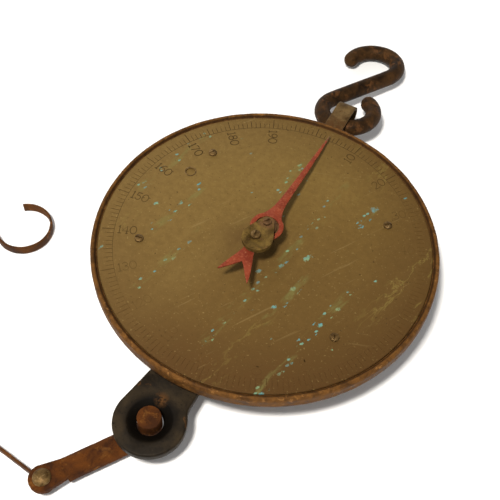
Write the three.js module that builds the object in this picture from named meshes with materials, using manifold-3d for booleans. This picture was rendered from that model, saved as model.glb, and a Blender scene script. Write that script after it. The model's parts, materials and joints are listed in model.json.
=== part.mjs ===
// Hanging circular spring scale, lying on its back. Millimetres, +Z up out of the dial.
// Origin: on the spindle axis, at the resting face of the back shell. +Y runs up the
// suspension line towards the hanger strap, +X to the right as seen from the front.
import * as THREE from 'three';
import { mergeVertices } from 'three/addons/utils/BufferGeometryUtils.js';
import Module from 'manifold-3d';

const wasm = await Module();
wasm.setup();

// ---- driving dimensions -------------------------------------------------------------
const GAP = 0.3; // clearance between pieces that touch
const rad = THREE.MathUtils.degToRad;

// The back shell is a dished pan: its wall slopes out from the base to an upright shoulder.
const SHELL_R = 102.6;
const SHELL_BASE_R = 91.5;
const SHELL_WALL = 1.6;
const SHELL_SHOULDER = 26;
const SHELL_TOP = 30.6;
const SLOT_CLEARANCE = 0.8;

const RIM_R = 105;
const RIM_SKIRT_R = 103;
const RIM_LIP_R = 101.4;
const RIM_BOTTOM = 27;
const RIM_LIP_BOTTOM = 31;
const RIM_TOP = 35.4;

const DIAL_R = 100.6;
const DIAL_TOP = 34;
const DIAL_THICK = 1.5;
const DIAL_SPINDLE_HOLE_R = 5;
const SPARE_HOLE = { r: 3, at: 70.7, clockwise: 290.3 };
const DIAL_SCREW_RADIUS = 76;
const DIAL_SCREW_ANGLES = [53.2, 122.7, 241.7, 306.1]; // degrees clockwise of +Y
const DIAL_SCREW_HEAD_R = 2.7;
const DIAL_SCREW_SLOTS = [0.5, 1.9, 0.2, 1.1]; // turn of each slot, radians

const FRAME_R = 84;
const FRAME_BOTTOM = 1.9;
const FRAME_TOP = 4.9;

const LINE_X = -4.35; // suspension line, beside the spindle so that the rack can pass
const LOAD_Z = 18.6; // height of the load line

const PINION_PITCH_R = 6;
const PINION_TEETH = 16;
const PRESSURE_ANGLE = rad(20);
const BACKLASH = 0.34;
const GEAR_BOTTOM = 16;
const GEAR_TOP = 21.2;
const RACK_BACK_X = 12.5;
const RACK_TOP = 42;
const ROLLER_R = 4.2;
const ROLLER_BORE_R = 2.5;

const SPRING_OFFSET = 38; // each spring from the suspension line
const SPRING_R = 9;
const SPRING_WIRE = 3;
const SPRING_TOP = 42;
const SPRING_BOTTOM = -18;
const CROSSHEAD_HALF = 49;
const CROSSHEAD_HOLE_R = 3.3;
const TOP_CROSSHEAD_Y = [50, 62];
const TOP_CROSSHEAD_MID = 56;
const CROSSHEAD_BOLT_OFFSET = 20;
const CROSSHEAD_BOLT_HOLE_R = 2.4;
const STRAP_RIVET_HOLE_R = 2.9;
const MOVING_CROSSHEAD_Y = [-38, -26];
const MOVING_CROSSHEAD_HALF = 5; // half its height along Z
const TIE_RIVETS = [[LINE_X - 7, -32], [LINE_X + 7, -32], [LINE_X, -49.5]];
const TIE_LOW_Y = -55;
const TIE_PAD_Y = [-54.2, -44.5];
const TIE_RIVET_HOLE_R = 1.8;
const TIE_THICK = 1.6;
const NUT_R = 6.2;
const NUT_LENGTH = 5;

const STRAP_WIDTH = 12.8;
const STRAP_THICK = 2;
const STRAP_INNER = 6.7; // inside radius of the bend
const STRAP_LEG_INNER = 6.1; // the legs close in a little where they pass under the rim
const STRAP_END_Y = 44;
const STRAP_JOGGLE_Y = [107, 114];
const STRAP_BEND_Y = 131.8;

const LUG_HALF_THICK = 3;
const LUG_NECK_HALF = 15.2;
const LUG_EYE = { y: -127.2, outer: 20.3, mouth: 12.9, throat: 7.3 };
const LUG_FILLET = 12; // right side
const LUG_SHOULDER = { top: -99.5, x: -16, y: -103, meets: 167 }; // left side's straight taper

const S_BAR_R = 5.7;
const S_LOOP_R = 18.1;
const S_LOOP_Y = 139;
const S_TILT = rad(6.9); // the far end leans down to the surface the scale lies on
const S_ROLL = rad(-5.4);
const S_FREE_END = 57;
const S_SHANK_HEADING = 58.2;
const S_SHANK = 50;

const BRIDGE_POSTS = [-17, 17];
const BRIDGE_BOTTOM = 25.4;
const BRIDGE_TOP = 28.4;

const POINTER_Z = [47.2, 48.2];
const POINTER_RING = { outer: 10, inner: 7.2 };
const BLADE_ROOT_Y = 8;
const BLADE_DROP = 0.124; // fall of the blade towards the dial, per unit of length
const BLADE_TIP_Y = 93.4;
const SPINDLE_BORE_R = 2.3;
const BOSS_R = 6.1;
const BOSS_TOP = 48.9;

const CLAMP = { small: { x: 0, y: 0, r: 4.4 }, large: { x: -0.1, y: -11.9, r: 9.2 } };
const CLAMP_Z = [49.2, 51.8];
const CLAMP_SCREW = { x: -2, y: -10.6 };
const CLAMP_RECESS = { r: 4.2, depth: 1.6 };

const LINK_R = 6.8;
const LINK_TOP = 25.6;
const LINK_Z = 6.9;
const LINK_BEND_R = 10;
const LINK_LENGTH = 62;
const LINK_HEADING = 235; // degrees from +X; 270 hangs straight down the load line

const TONGUE_THICK = 5;
const HOOK_RIVET_HOLE_R = 2.9;
const STRIP_Z = [0.3, 6.4];
const STRIP_THICK = 1.7;
const STRIP_EYE_R = 5;
const STRIP = {
  tip: { x: -149.8, y: -47.3, r: 17.3, from: 129, to: -118 },
  bow: { r: 52, to: 266 },
};

// ---- materials ----------------------------------------------------------------------
const metal = (color, roughness, metalness) => (
  new THREE.MeshStandardMaterial({ color, roughness, metalness }));
const materials = {
  brass: () => metal(0x7d6238, 0.55, 0.8),
  rimIron: () => metal(0x6e4421, 0.7, 0.6),
  forgedIron: () => metal(0x3a3026, 0.8, 0.6),
  rust: () => metal(0x7a4520, 0.9, 0.3),
  strapIron: () => metal(0x6b5230, 0.75, 0.5),
  redPaint: () => metal(0xa8402c, 0.6, 0.1),
  steel: () => metal(0x6a655c, 0.45, 0.9),
};

// ---- geometry helpers ---------------------------------------------------------------
function toSolid(geometry) {
  const bare = geometry.clone();
  bare.deleteAttribute('normal');
  bare.deleteAttribute('uv');
  const welded = mergeVertices(bare, 1e-4);
  return new wasm.Manifold(new wasm.Mesh({
    numProp: 3,
    vertProperties: new Float32Array(welded.attributes.position.array),
    triVerts: new Uint32Array(welded.index.array),
  }));
}

function toGeometry(solid) {
  const mesh = solid.getMesh();
  const geometry = new THREE.BufferGeometry();
  const position = new Float32Array(mesh.vertProperties);
  geometry.setAttribute('position', new THREE.BufferAttribute(position, 3));
  geometry.setIndex(new THREE.BufferAttribute(new Uint32Array(mesh.triVerts), 1));
  geometry.computeVertexNormals();
  return geometry;
}

const cut = (geometry, ...tools) => toGeometry(
  tools.reduce((solid, tool) => solid.subtract(toSolid(tool)), toSolid(geometry)));

const join = (geometry, ...others) => toGeometry(
  others.reduce((solid, other) => solid.add(toSolid(other)), toSolid(geometry)));

function box(x0, x1, y0, y1, z0, z1) {
  const geometry = new THREE.BoxGeometry(x1 - x0, y1 - y0, z1 - z0);
  return geometry.translate((x0 + x1) / 2, (y0 + y1) / 2, (z0 + z1) / 2);
}

function rod(x, y, radius, z0, z1, sides = 12) {
  const geometry = new THREE.CylinderGeometry(radius, radius, z1 - z0, sides);
  return geometry.rotateX(Math.PI / 2).translate(x, y, (z0 + z1) / 2);
}

function rodAlongY(x, z, radius, y0, y1, sides = 12) {
  const geometry = new THREE.CylinderGeometry(radius, radius, y1 - y0, sides);
  return geometry.translate(x, (y0 + y1) / 2, z);
}

// A profile of [radius, height] points turned about Z. A profile that starts and ends on
// the axis is solid, any other is closed on itself.
function turned(profile, sides = 32) {
  const onAxis = profile[0][0] === 0 && profile[profile.length - 1][0] === 0;
  const points = profile.map(([r, z]) => new THREE.Vector2(r, z));
  const closed = onAxis ? points : [...points, points[0].clone()];
  return new THREE.LatheGeometry(closed, sides).rotateX(Math.PI / 2);
}

function plate(shape, z0, z1, curveSegments = 24) {
  const options = { depth: z1 - z0, bevelEnabled: false, curveSegments };
  const geometry = new THREE.ExtrudeGeometry(shape, options);
  return geometry.translate(0, 0, z0);
}

function polygon(points) {
  return new THREE.Shape(points.map(([x, y]) => new THREE.Vector2(x, y)));
}

// A closed section carried along a curve.
function swept(curve, section, steps) {
  return new THREE.ExtrudeGeometry(section, { steps, bevelEnabled: false, extrudePath: curve });
}

function roundSection(radius, sides = 10) {
  const points = [];
  for (let i = 0; i < sides; i += 1) {
    const turn = (i / sides) * 2 * Math.PI;
    points.push([radius * Math.cos(turn), radius * Math.sin(turn)]);
  }
  return polygon(points);
}

// Places a point clockwise of +Y at a radius, as on a clock face.
function clock(radius, degrees) {
  const turn = rad(degrees);
  return [radius * Math.sin(turn), radius * Math.cos(turn)];
}

// Points along an arc in the XY plane, from one angle to another.
function arcPoints(cx, cy, radius, fromDeg, toDeg, count) {
  const points = [];
  for (let i = 0; i <= count; i += 1) {
    const turn = rad(fromDeg + ((toDeg - fromDeg) * i) / count);
    points.push(new THREE.Vector3(cx + radius * Math.cos(turn), cy + radius * Math.sin(turn), 0));
  }
  return points;
}

const scale = new THREE.Group();
scale.name = 'spring_scale';

function add(name, geometry, material, parent = scale) {
  const mesh = new THREE.Mesh(geometry, material);
  mesh.name = name;
  parent.add(mesh);
  return mesh;
}

// A slotted screw head with its shank below, head resting at headBottom.
function slottedScrew(x, y, headR, headHeight, headBottom, shankR, shankBottom, slotTurn = 0) {
  const rounded = headHeight * 0.35;
  const profile = [
    [0, shankBottom], [shankR, shankBottom], [shankR, headBottom], [headR, headBottom],
    [headR, headBottom + headHeight - rounded], [headR - rounded, headBottom + headHeight],
    [0, headBottom + headHeight],
  ];
  const slotDepth = headHeight * 0.45;
  const slot = box(-headR * 1.2, headR * 1.2, -headR * 0.14, headR * 0.14,
    headBottom + headHeight - slotDepth, headBottom + headHeight + 1);
  return cut(turned(profile, 12), slot.rotateZ(slotTurn)).translate(x, y, 0);
}

// ---- case ---------------------------------------------------------------------------
function backShell() {
  const inner = SHELL_R - SHELL_WALL;
  const innerBase = SHELL_BASE_R - SHELL_WALL;
  const shell = turned([
    [0, 0], [SHELL_BASE_R - 2, 0], [SHELL_BASE_R, 1.2], [SHELL_R, SHELL_SHOULDER],
    [SHELL_R, SHELL_TOP], [inner, SHELL_TOP], [inner, SHELL_SHOULDER + 0.3],
    [innerBase, SHELL_WALL + 0.6], [innerBase - 1, SHELL_WALL], [0, SHELL_WALL],
  ], 60);
  const strapHalf = STRAP_WIDTH / 2 + SLOT_CLEARANCE;
  const strapLow = LOAD_Z - STRAP_LEG_INNER - STRAP_THICK - SLOT_CLEARANCE;
  const strapNotch = box(LINE_X - strapHalf, LINE_X + strapHalf, 80, 110, strapLow, SHELL_TOP + 1);
  const lugHalf = LUG_NECK_HALF + SLOT_CLEARANCE;
  const lugDepth = LUG_HALF_THICK + SLOT_CLEARANCE;
  const lugSlot = box(
    LINE_X - lugHalf, LINE_X + lugHalf, -110, -80, LOAD_Z - lugDepth, LOAD_Z + lugDepth);
  return cut(shell, strapNotch, lugSlot);
}

// A rolled bead over an upright skirt. The lip holds the dial down.
function rim() {
  return turned([
    [RIM_SKIRT_R, RIM_BOTTOM], [RIM_R, RIM_BOTTOM], [RIM_R, RIM_TOP - 3], [RIM_R - 0.4, RIM_TOP - 1.4],
    [RIM_R - 1.2, RIM_TOP - 0.3], [RIM_R - 2, RIM_TOP], [RIM_LIP_R + 0.6, RIM_TOP - 0.5],
    [RIM_LIP_R, RIM_TOP - 1.4], [RIM_LIP_R, RIM_LIP_BOTTOM], [RIM_SKIRT_R, RIM_LIP_BOTTOM],
  ], 60);
}

function dialPlate() {
  const bottom = DIAL_TOP - DIAL_THICK;
  const disc = turned([[DIAL_SPINDLE_HOLE_R, bottom], [DIAL_R, bottom], [DIAL_R, DIAL_TOP],
    [DIAL_SPINDLE_HOLE_R, DIAL_TOP]], 60);
  const screwHoles = DIAL_SCREW_ANGLES.map(
    (angle) => rod(...clock(DIAL_SCREW_RADIUS, angle), 1.9, bottom - 1, DIAL_TOP + 1));
  const sparePlace = clock(SPARE_HOLE.at, SPARE_HOLE.clockwise);
  const spare = rod(...sparePlace, SPARE_HOLE.r, bottom - 1, DIAL_TOP + 1, 16);
  return cut(disc, ...screwHoles, spare);
}

function framePlate() {
  const shape = new THREE.Shape();
  shape.absarc(0, 0, FRAME_R, 0, 2 * Math.PI, false);
  const bush = new THREE.Path();
  bush.absarc(0, 0, 5.3, 0, 2 * Math.PI, true);
  shape.holes.push(bush);
  return plate(shape, FRAME_BOTTOM, FRAME_TOP, 20);
}

function dialPillar(angle) {
  const [x, y] = clock(DIAL_SCREW_RADIUS, angle);
  const bottom = FRAME_TOP + GAP;
  const top = DIAL_TOP - DIAL_THICK - GAP;
  const pillar = turned([
    [0, bottom], [5, bottom], [5, bottom + 3], [3.6, bottom + 4.4], [3.6, top], [1.9, top],
    [1.9, top - 7], [0, top - 7],
  ], 12);
  return pillar.translate(x, y, 0);
}

function dialScrew(angle, slotTurn) {
  const [x, y] = clock(DIAL_SCREW_RADIUS, angle);
  return slottedScrew(x, y, DIAL_SCREW_HEAD_R, 1.8, DIAL_TOP + GAP, 1.5, DIAL_TOP - 6, slotTurn);
}

function addCase() {
  add('back_shell', backShell(), materials.rimIron());
  add('rim', rim(), materials.rimIron());
  add('dial_plate', dialPlate(), materials.brass());
  add('frame_plate', framePlate(), materials.forgedIron());
  DIAL_SCREW_ANGLES.forEach((angle, i) => {
    add(`dial_pillar_${i + 1}`, dialPillar(angle), materials.steel());
    add(`dial_screw_${i + 1}`, dialScrew(angle, DIAL_SCREW_SLOTS[i]), materials.steel());
  });
}

// ---- hanger -------------------------------------------------------------------------
function hangerStrap() {
  const path = new THREE.Shape();
  const outer = STRAP_INNER + STRAP_THICK;
  const legOuter = STRAP_LEG_INNER + STRAP_THICK;
  const [joggleStart, joggleEnd] = STRAP_JOGGLE_Y;
  path.moveTo(STRAP_END_Y, -legOuter);
  path.lineTo(joggleStart, -legOuter);
  path.lineTo(joggleEnd, -outer);
  path.absarc(STRAP_BEND_Y, 0, outer, -Math.PI / 2, Math.PI / 2, false);
  path.lineTo(joggleEnd, outer);
  path.lineTo(joggleStart, legOuter);
  path.lineTo(STRAP_END_Y, legOuter);
  path.lineTo(STRAP_END_Y, STRAP_LEG_INNER);
  path.lineTo(joggleStart, STRAP_LEG_INNER);
  path.lineTo(joggleEnd, STRAP_INNER);
  path.absarc(STRAP_BEND_Y, 0, STRAP_INNER, Math.PI / 2, -Math.PI / 2, true);
  path.lineTo(joggleEnd, -STRAP_INNER);
  path.lineTo(joggleStart, -STRAP_LEG_INNER);
  path.lineTo(STRAP_END_Y, -STRAP_LEG_INNER);
  path.closePath();
  const options = { depth: STRAP_WIDTH, bevelEnabled: false, curveSegments: 12 };
  const strap = new THREE.ExtrudeGeometry(path, options);
  // The outline is drawn in (Y, Z) and extruded across X.
  const toPlace = new THREE.Matrix4().makeBasis(
    new THREE.Vector3(0, 1, 0), new THREE.Vector3(0, 0, 1), new THREE.Vector3(1, 0, 0));
  strap.applyMatrix4(toPlace).translate(LINE_X - STRAP_WIDTH / 2, 0, LOAD_Z);
  return cut(strap, rod(LINE_X, TOP_CROSSHEAD_MID, STRAP_RIVET_HOLE_R, 0, 40));
}

function topCrosshead() {
  const half = STRAP_LEG_INNER - GAP;
  const bar = box(LINE_X - CROSSHEAD_HALF, LINE_X + CROSSHEAD_HALF, ...TOP_CROSSHEAD_Y,
    LOAD_Z - half, LOAD_Z + half);
  const studs = [-1, 1].map(
    (side) => rodAlongY(LINE_X + side * SPRING_OFFSET, LOAD_Z, CROSSHEAD_HOLE_R, 40, 70));
  const bolts = [-1, 1].map((side) => rod(
    LINE_X + side * CROSSHEAD_BOLT_OFFSET, TOP_CROSSHEAD_MID, CROSSHEAD_BOLT_HOLE_R, 0, 40));
  return cut(bar, ...studs, ...bolts, rod(LINE_X, TOP_CROSSHEAD_MID, STRAP_RIVET_HOLE_R, 0, 40));
}

function strapRivet() {
  const reach = STRAP_LEG_INNER + STRAP_THICK + GAP;
  const low = LOAD_Z - reach;
  const high = LOAD_Z + reach;
  const rivet = turned([
    [0, low - 2], [3, low - 2], [4.4, low], [2.5, low],
    [2.5, high], [4.4, high], [3, high + 2], [0, high + 2],
  ], 12);
  return rivet.translate(LINE_X, TOP_CROSSHEAD_MID, 0);
}

function crossheadBlock(side) {
  const top = LOAD_Z - STRAP_LEG_INNER;
  const block = turned([
    [CROSSHEAD_BOLT_HOLE_R, FRAME_TOP + GAP], [5.5, FRAME_TOP + GAP],
    [5.5, top], [CROSSHEAD_BOLT_HOLE_R, top],
  ], 12);
  return block.translate(LINE_X + side * CROSSHEAD_BOLT_OFFSET, TOP_CROSSHEAD_MID, 0);
}

function crossheadBolt(side) {
  const x = LINE_X + side * CROSSHEAD_BOLT_OFFSET;
  const headBottom = LOAD_Z + STRAP_LEG_INNER;
  return slottedScrew(x, TOP_CROSSHEAD_MID, 4, 2.6, headBottom, 2, FRAME_TOP + GAP, side * 0.6);
}

// The lower eye of the S-hook closes round the strap; the upper half hooks over a beam.
function sHook() {
  const heading = rad(S_SHANK_HEADING);
  const shankStartAngle = S_SHANK_HEADING + 90;
  const lower = arcPoints(0, 0, S_LOOP_R, S_FREE_END, shankStartAngle - 360, 40);
  const start = lower[lower.length - 1];
  const along = new THREE.Vector3(Math.cos(heading), Math.sin(heading), 0);
  const end = start.clone().addScaledVector(along, S_SHANK);
  const left = new THREE.Vector3(-along.y, along.x, 0);
  const centre = end.clone().addScaledVector(left, S_LOOP_R);
  const upper = arcPoints(
    centre.x, centre.y, S_LOOP_R, S_SHANK_HEADING - 90, S_SHANK_HEADING + 120, 30);
  const shank = [0.2, 0.4, 0.6, 0.8].map((t) => start.clone().lerp(end, t));
  const route = [...lower, ...shank, ...upper];
  const curve = new THREE.CatmullRomCurve3(route);
  const bar = swept(curve, roundSection(S_BAR_R), 48);
  const ends = [route[0], route[route.length - 1]].map(
    (p) => new THREE.SphereGeometry(S_BAR_R * 0.985, 10, 6).translate(p.x, p.y, 0));
  return join(bar, ...ends);
}

function addHanger() {
  add('hanger_strap', hangerStrap(), materials.strapIron());
  add('top_crosshead', topCrosshead(), materials.forgedIron());
  add('strap_rivet', strapRivet(), materials.steel());
  for (const [side, tag] of [[-1, 'left'], [1, 'right']]) {
    add(`crosshead_block_${tag}`, crossheadBlock(side), materials.steel());
    add(`crosshead_bolt_${tag}`, crossheadBolt(side), materials.steel());
  }
  const hookGroup = new THREE.Group();
  hookGroup.position.set(LINE_X, S_LOOP_Y, LOAD_Z - S_LOOP_R * Math.sin(S_TILT));
  hookGroup.rotation.set(-S_TILT, S_ROLL, 0);
  scale.add(hookGroup);
  add('s_hook', sHook(), materials.forgedIron(), hookGroup);
}

// ---- springs ------------------------------------------------------------------------
function springBody() {
  const inner = SPRING_R - SPRING_WIRE;
  return turned([[inner, 0], [SPRING_R, 0], [SPRING_R, SPRING_TOP - SPRING_BOTTOM],
    [inner, SPRING_TOP - SPRING_BOTTOM]], 12).rotateX(-Math.PI / 2);
}

// A plug screwed into the end coils, with a stud through the crosshead.
function springPlug(towards) {
  const coreR = SPRING_R - SPRING_WIRE - GAP;
  const plug = turned([
    [0, -12], [coreR, -12], [coreR, 0.3], [SPRING_R, 0.3], [SPRING_R, 4], [3, 4], [3, 27.5], [0, 27.5],
  ], 12).rotateX(-Math.PI / 2);
  return towards > 0 ? plug : plug.rotateZ(Math.PI);
}

function hexNut(radius, bore, length) {
  const shape = new THREE.Shape();
  for (let i = 0; i < 6; i += 1) {
    const turn = rad(60 * i);
    const point = [radius * Math.cos(turn), radius * Math.sin(turn)];
    if (i === 0) shape.moveTo(...point);
    else shape.lineTo(...point);
  }
  shape.closePath();
  const hole = new THREE.Path();
  hole.absarc(0, 0, bore, 0, 2 * Math.PI, true);
  shape.holes.push(hole);
  return plate(shape, 0, length, 12).rotateX(-Math.PI / 2);
}

function addSprings() {
  for (const [side, tag] of [[-1, 'left'], [1, 'right']]) {
    const x = LINE_X + side * SPRING_OFFSET;
    add(`spring_${tag}`, springBody(), materials.steel()).position.set(x, SPRING_BOTTOM, LOAD_Z);
    add(`upper_plug_${tag}`, springPlug(1), materials.steel()).position.set(x, SPRING_TOP, LOAD_Z);
    add(`lower_plug_${tag}`, springPlug(-1), materials.steel()).position.set(x, SPRING_BOTTOM, LOAD_Z);
    const nut = hexNut(NUT_R, CROSSHEAD_HOLE_R, NUT_LENGTH);
    const upperNut = add(`adjusting_nut_${tag}`, nut, materials.steel());
    upperNut.position.set(x, TOP_CROSSHEAD_Y[1] + GAP, LOAD_Z);
    const lowerNut = add(`lower_nut_${tag}`, nut, materials.steel());
    lowerNut.position.set(x, MOVING_CROSSHEAD_Y[0] - GAP - NUT_LENGTH, LOAD_Z);
  }
}

// ---- draw bar, moving crosshead and rack --------------------------------------------
// The lug's outline: its neck runs into the eye by a taper on the left and a fillet on the right.
function lugShape() {
  const { y: eyeY, outer, throat } = LUG_EYE;
  const topY = MOVING_CROSSHEAD_Y[0] - GAP;
  const filletX = LUG_NECK_HALF + LUG_FILLET;
  const filletY = eyeY + Math.sqrt((outer + LUG_FILLET) ** 2 - filletX ** 2);
  const lean = Math.atan2(filletY - eyeY, filletX);
  const shape = new THREE.Shape();
  shape.moveTo(-LUG_NECK_HALF, topY);
  shape.lineTo(-LUG_NECK_HALF, LUG_SHOULDER.top);
  shape.lineTo(LUG_SHOULDER.x, LUG_SHOULDER.y);
  shape.absarc(0, eyeY, outer, rad(LUG_SHOULDER.meets), 2 * Math.PI + lean, false);
  shape.absarc(filletX, filletY, LUG_FILLET, Math.PI + lean, Math.PI, true);
  shape.lineTo(LUG_NECK_HALF, topY);
  shape.closePath();
  const eye = new THREE.Path();
  eye.absarc(0, eyeY, throat, 0, 2 * Math.PI, true);
  shape.holes.push(eye);
  return shape;
}

// The eye is countersunk from both faces, deeper from the front.
function drawBar() {
  const low = LOAD_Z - LUG_HALF_THICK;
  const high = LOAD_Z + LUG_HALF_THICK;
  const { y: eyeY, mouth, throat } = LUG_EYE;
  const blank = plate(lugShape(), low, high, 12).translate(LINE_X, 0, 0);
  const countersink = turned([
    [0, low - 1], [throat + 2.6, low - 1], [throat, low + 1.3], [throat, high - 4],
    [mouth + 1.2, high + 1], [0, high + 1],
  ], 32).translate(LINE_X, eyeY, 0);
  return cut(blank, countersink, rod(...TIE_RIVETS[2], TIE_RIVET_HOLE_R, 0, 40));
}

function movingCrosshead() {
  const bar = box(LINE_X - CROSSHEAD_HALF, LINE_X + CROSSHEAD_HALF, ...MOVING_CROSSHEAD_Y,
    LOAD_Z - MOVING_CROSSHEAD_HALF, LOAD_Z + MOVING_CROSSHEAD_HALF);
  const studs = [-1, 1].map(
    (side) => rodAlongY(LINE_X + side * SPRING_OFFSET, LOAD_Z, CROSSHEAD_HOLE_R, -50, -10));
  const rivets = TIE_RIVETS.slice(0, 2).map(([x, y]) => rod(x, y, TIE_RIVET_HOLE_R, 0, 40));
  return cut(bar, ...studs, ...rivets);
}

// Two side plates riveted over the crosshead tie the draw bar to it.
function drawTie(front) {
  const near = MOVING_CROSSHEAD_HALF + GAP;
  const z0 = front ? LOAD_Z + near : LOAD_Z - near - TIE_THICK;
  const blank = box(LINE_X - 12, LINE_X + 12, TIE_LOW_Y, MOVING_CROSSHEAD_Y[1], z0, z0 + TIE_THICK);
  return cut(blank, ...TIE_RIVETS.map(([x, y]) => rod(x, y, TIE_RIVET_HOLE_R, 0, 40)));
}

function tiePad(front) {
  const side = front ? 1 : -1;
  const inner = LOAD_Z + side * (LUG_HALF_THICK + GAP);
  const outer = LOAD_Z + side * MOVING_CROSSHEAD_HALF;
  const [low, high] = [Math.min(inner, outer), Math.max(inner, outer)];
  const pad = box(LINE_X - 10, LINE_X + 10, ...TIE_PAD_Y, low, high);
  return cut(pad, rod(...TIE_RIVETS[2], TIE_RIVET_HOLE_R, 0, 40));
}

function tieRivet(x, y) {
  const reach = MOVING_CROSSHEAD_HALF + TIE_THICK + 2 * GAP;
  return turned([
    [0, -reach - 1.4], [2.2, -reach - 1.4], [2.8, -reach], [1.5, -reach], [1.5, reach],
    [2.8, reach], [2.2, reach + 1.4], [0, reach + 1.4],
  ], 12).translate(x, y, LOAD_Z);
}

// The rack's flanks lean at the pressure angle; pitch line at x = PINION_PITCH_R.
function rack() {
  const pitch = (2 * Math.PI * PINION_PITCH_R) / PINION_TEETH;
  const addendum = 0.6;
  const dedendum = 0.95;
  const slope = Math.tan(PRESSURE_ANGLE);
  const halfTooth = pitch / 4 - BACKLASH / 4;
  const tip = halfTooth - addendum * slope;
  const root = halfTooth + dedendum * slope;
  const shape = new THREE.Shape();
  const foot = MOVING_CROSSHEAD_Y[1] + GAP;
  shape.moveTo(RACK_BACK_X, foot);
  shape.lineTo(RACK_BACK_X, RACK_TOP);
  shape.lineTo(PINION_PITCH_R + dedendum, RACK_TOP);
  // Teeth sit half a pitch off the pinion's tooth at rest, from above the pinion downwards.
  for (let i = 17; i >= -3; i -= 1) {
    const y = (i + 0.5) * pitch;
    shape.lineTo(PINION_PITCH_R + dedendum, y + root);
    shape.lineTo(PINION_PITCH_R - addendum, y + tip);
    shape.lineTo(PINION_PITCH_R - addendum, y - tip);
    shape.lineTo(PINION_PITCH_R + dedendum, y - root);
  }
  shape.lineTo(PINION_PITCH_R + dedendum, foot);
  shape.closePath();
  return plate(shape, GEAR_BOTTOM, GEAR_TOP);
}

// A roller on the bridge's right post keeps the rack in mesh from behind.
function rackRoller() {
  return turned([
    [ROLLER_BORE_R, GEAR_BOTTOM], [ROLLER_R, GEAR_BOTTOM],
    [ROLLER_R, GEAR_TOP], [ROLLER_BORE_R, GEAR_TOP],
  ], 24).translate(BRIDGE_POSTS[1], 0, 0);
}

function addDrawBar() {
  add('draw_bar', drawBar(), materials.forgedIron());
  add('moving_crosshead', movingCrosshead(), materials.forgedIron());
  add('rack', rack(), materials.brass());
  add('rack_roller', rackRoller(), materials.brass());
  add('draw_tie_front', drawTie(true), materials.steel());
  add('draw_tie_back', drawTie(false), materials.steel());
  add('tie_pad_front', tiePad(true), materials.steel());
  add('tie_pad_back', tiePad(false), materials.steel());
  TIE_RIVETS.forEach(([x, y], i) => {
    add(`tie_rivet_${i + 1}`, tieRivet(x, y), materials.steel());
  });
}

// ---- spindle and pinion -------------------------------------------------------------
// Involute flank point: the angle by which the tooth has narrowed at this radius.
function involute(radius, baseR) {
  const ratio = baseR / radius;
  const angle = Math.acos(Math.min(1, ratio));
  return Math.tan(angle) - angle;
}

function pinion() {
  const baseR = PINION_PITCH_R * Math.cos(PRESSURE_ANGLE);
  const tipR = PINION_PITCH_R + 0.6;
  const rootR = PINION_PITCH_R - 0.95;
  const halfPitchAngle = Math.PI / (2 * PINION_TEETH) - BACKLASH / (4 * PINION_PITCH_R);
  const flank = [baseR, (baseR + PINION_PITCH_R) / 2, PINION_PITCH_R, tipR].map((radius) => ({
    radius,
    half: halfPitchAngle + involute(PINION_PITCH_R, baseR) - involute(radius, baseR),
  }));
  const points = [];
  for (let tooth = 0; tooth < PINION_TEETH; tooth += 1) {
    const centre = (tooth * 2 * Math.PI) / PINION_TEETH;
    const rootHalf = flank[0].half;
    points.push([rootR, centre - rootHalf]);
    flank.forEach(({ radius, half }) => points.push([radius, centre - half]));
    [...flank].reverse().forEach(({ radius, half }) => points.push([radius, centre + half]));
    points.push([rootR, centre + rootHalf]);
  }
  const shape = polygon(points.map(([r, turn]) => [r * Math.cos(turn), r * Math.sin(turn)]));
  const bore = new THREE.Path();
  bore.absarc(0, 0, SPINDLE_BORE_R, 0, 2 * Math.PI, true);
  shape.holes.push(bore);
  return plate(shape, GEAR_BOTTOM, GEAR_TOP, 12);
}

function spindle() {
  return turned([[0, 3], [1.7, 3], [1.7, 8], [2, 8], [2, BOSS_TOP - 2], [0, BOSS_TOP - 2]], 12);
}

// ---- bearings and bridge ------------------------------------------------------------
const bushProfile = (inner, outer, z0, z1) => [[inner, z0], [outer, z0], [outer, z1], [inner, z1]];

function bearingBridge() {
  const bar = box(BRIDGE_POSTS[0] - 5, BRIDGE_POSTS[1] + 5, -6, 6, BRIDGE_BOTTOM, BRIDGE_TOP);
  const posts = BRIDGE_POSTS.map((x) => rod(x, 0, 2.2, 20, 40));
  return cut(bar, rod(0, 0, 4.3, 20, 40), ...posts);
}

// The post's waist, below the bridge, is the pin that the rack roller turns on.
function bridgePost(x) {
  const foot = FRAME_TOP + GAP;
  return turned([
    [0, foot], [3.4, foot], [3.4, GEAR_BOTTOM - GAP], [2.1, GEAR_BOTTOM - GAP], [2.1, GEAR_TOP + GAP],
    [3.4, GEAR_TOP + GAP], [3.4, BRIDGE_BOTTOM - GAP], [1.9, BRIDGE_BOTTOM - GAP],
    [1.9, BRIDGE_TOP + 0.2], [0, BRIDGE_TOP + 0.2],
  ], 12).translate(x, 0, 0);
}

function bridgeNut(x) {
  return hexNut(4, 2.3, 2).rotateX(Math.PI / 2).translate(x, 0, BRIDGE_TOP + GAP);
}

// ---- pointer ------------------------------------------------------------------------
// Boss with a flange that the pointer's ring lies on.
function pointerBoss() {
  const seat = POINTER_Z[0] - GAP;
  return turned([
    [SPINDLE_BORE_R, 36], [4, 36], [4, seat - 2], [9, seat - 2], [9, seat], [BOSS_R, seat],
    [BOSS_R, BOSS_TOP - 0.5], [BOSS_R - 0.6, BOSS_TOP], [SPINDLE_BORE_R, BOSS_TOP],
  ], 24);
}

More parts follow.
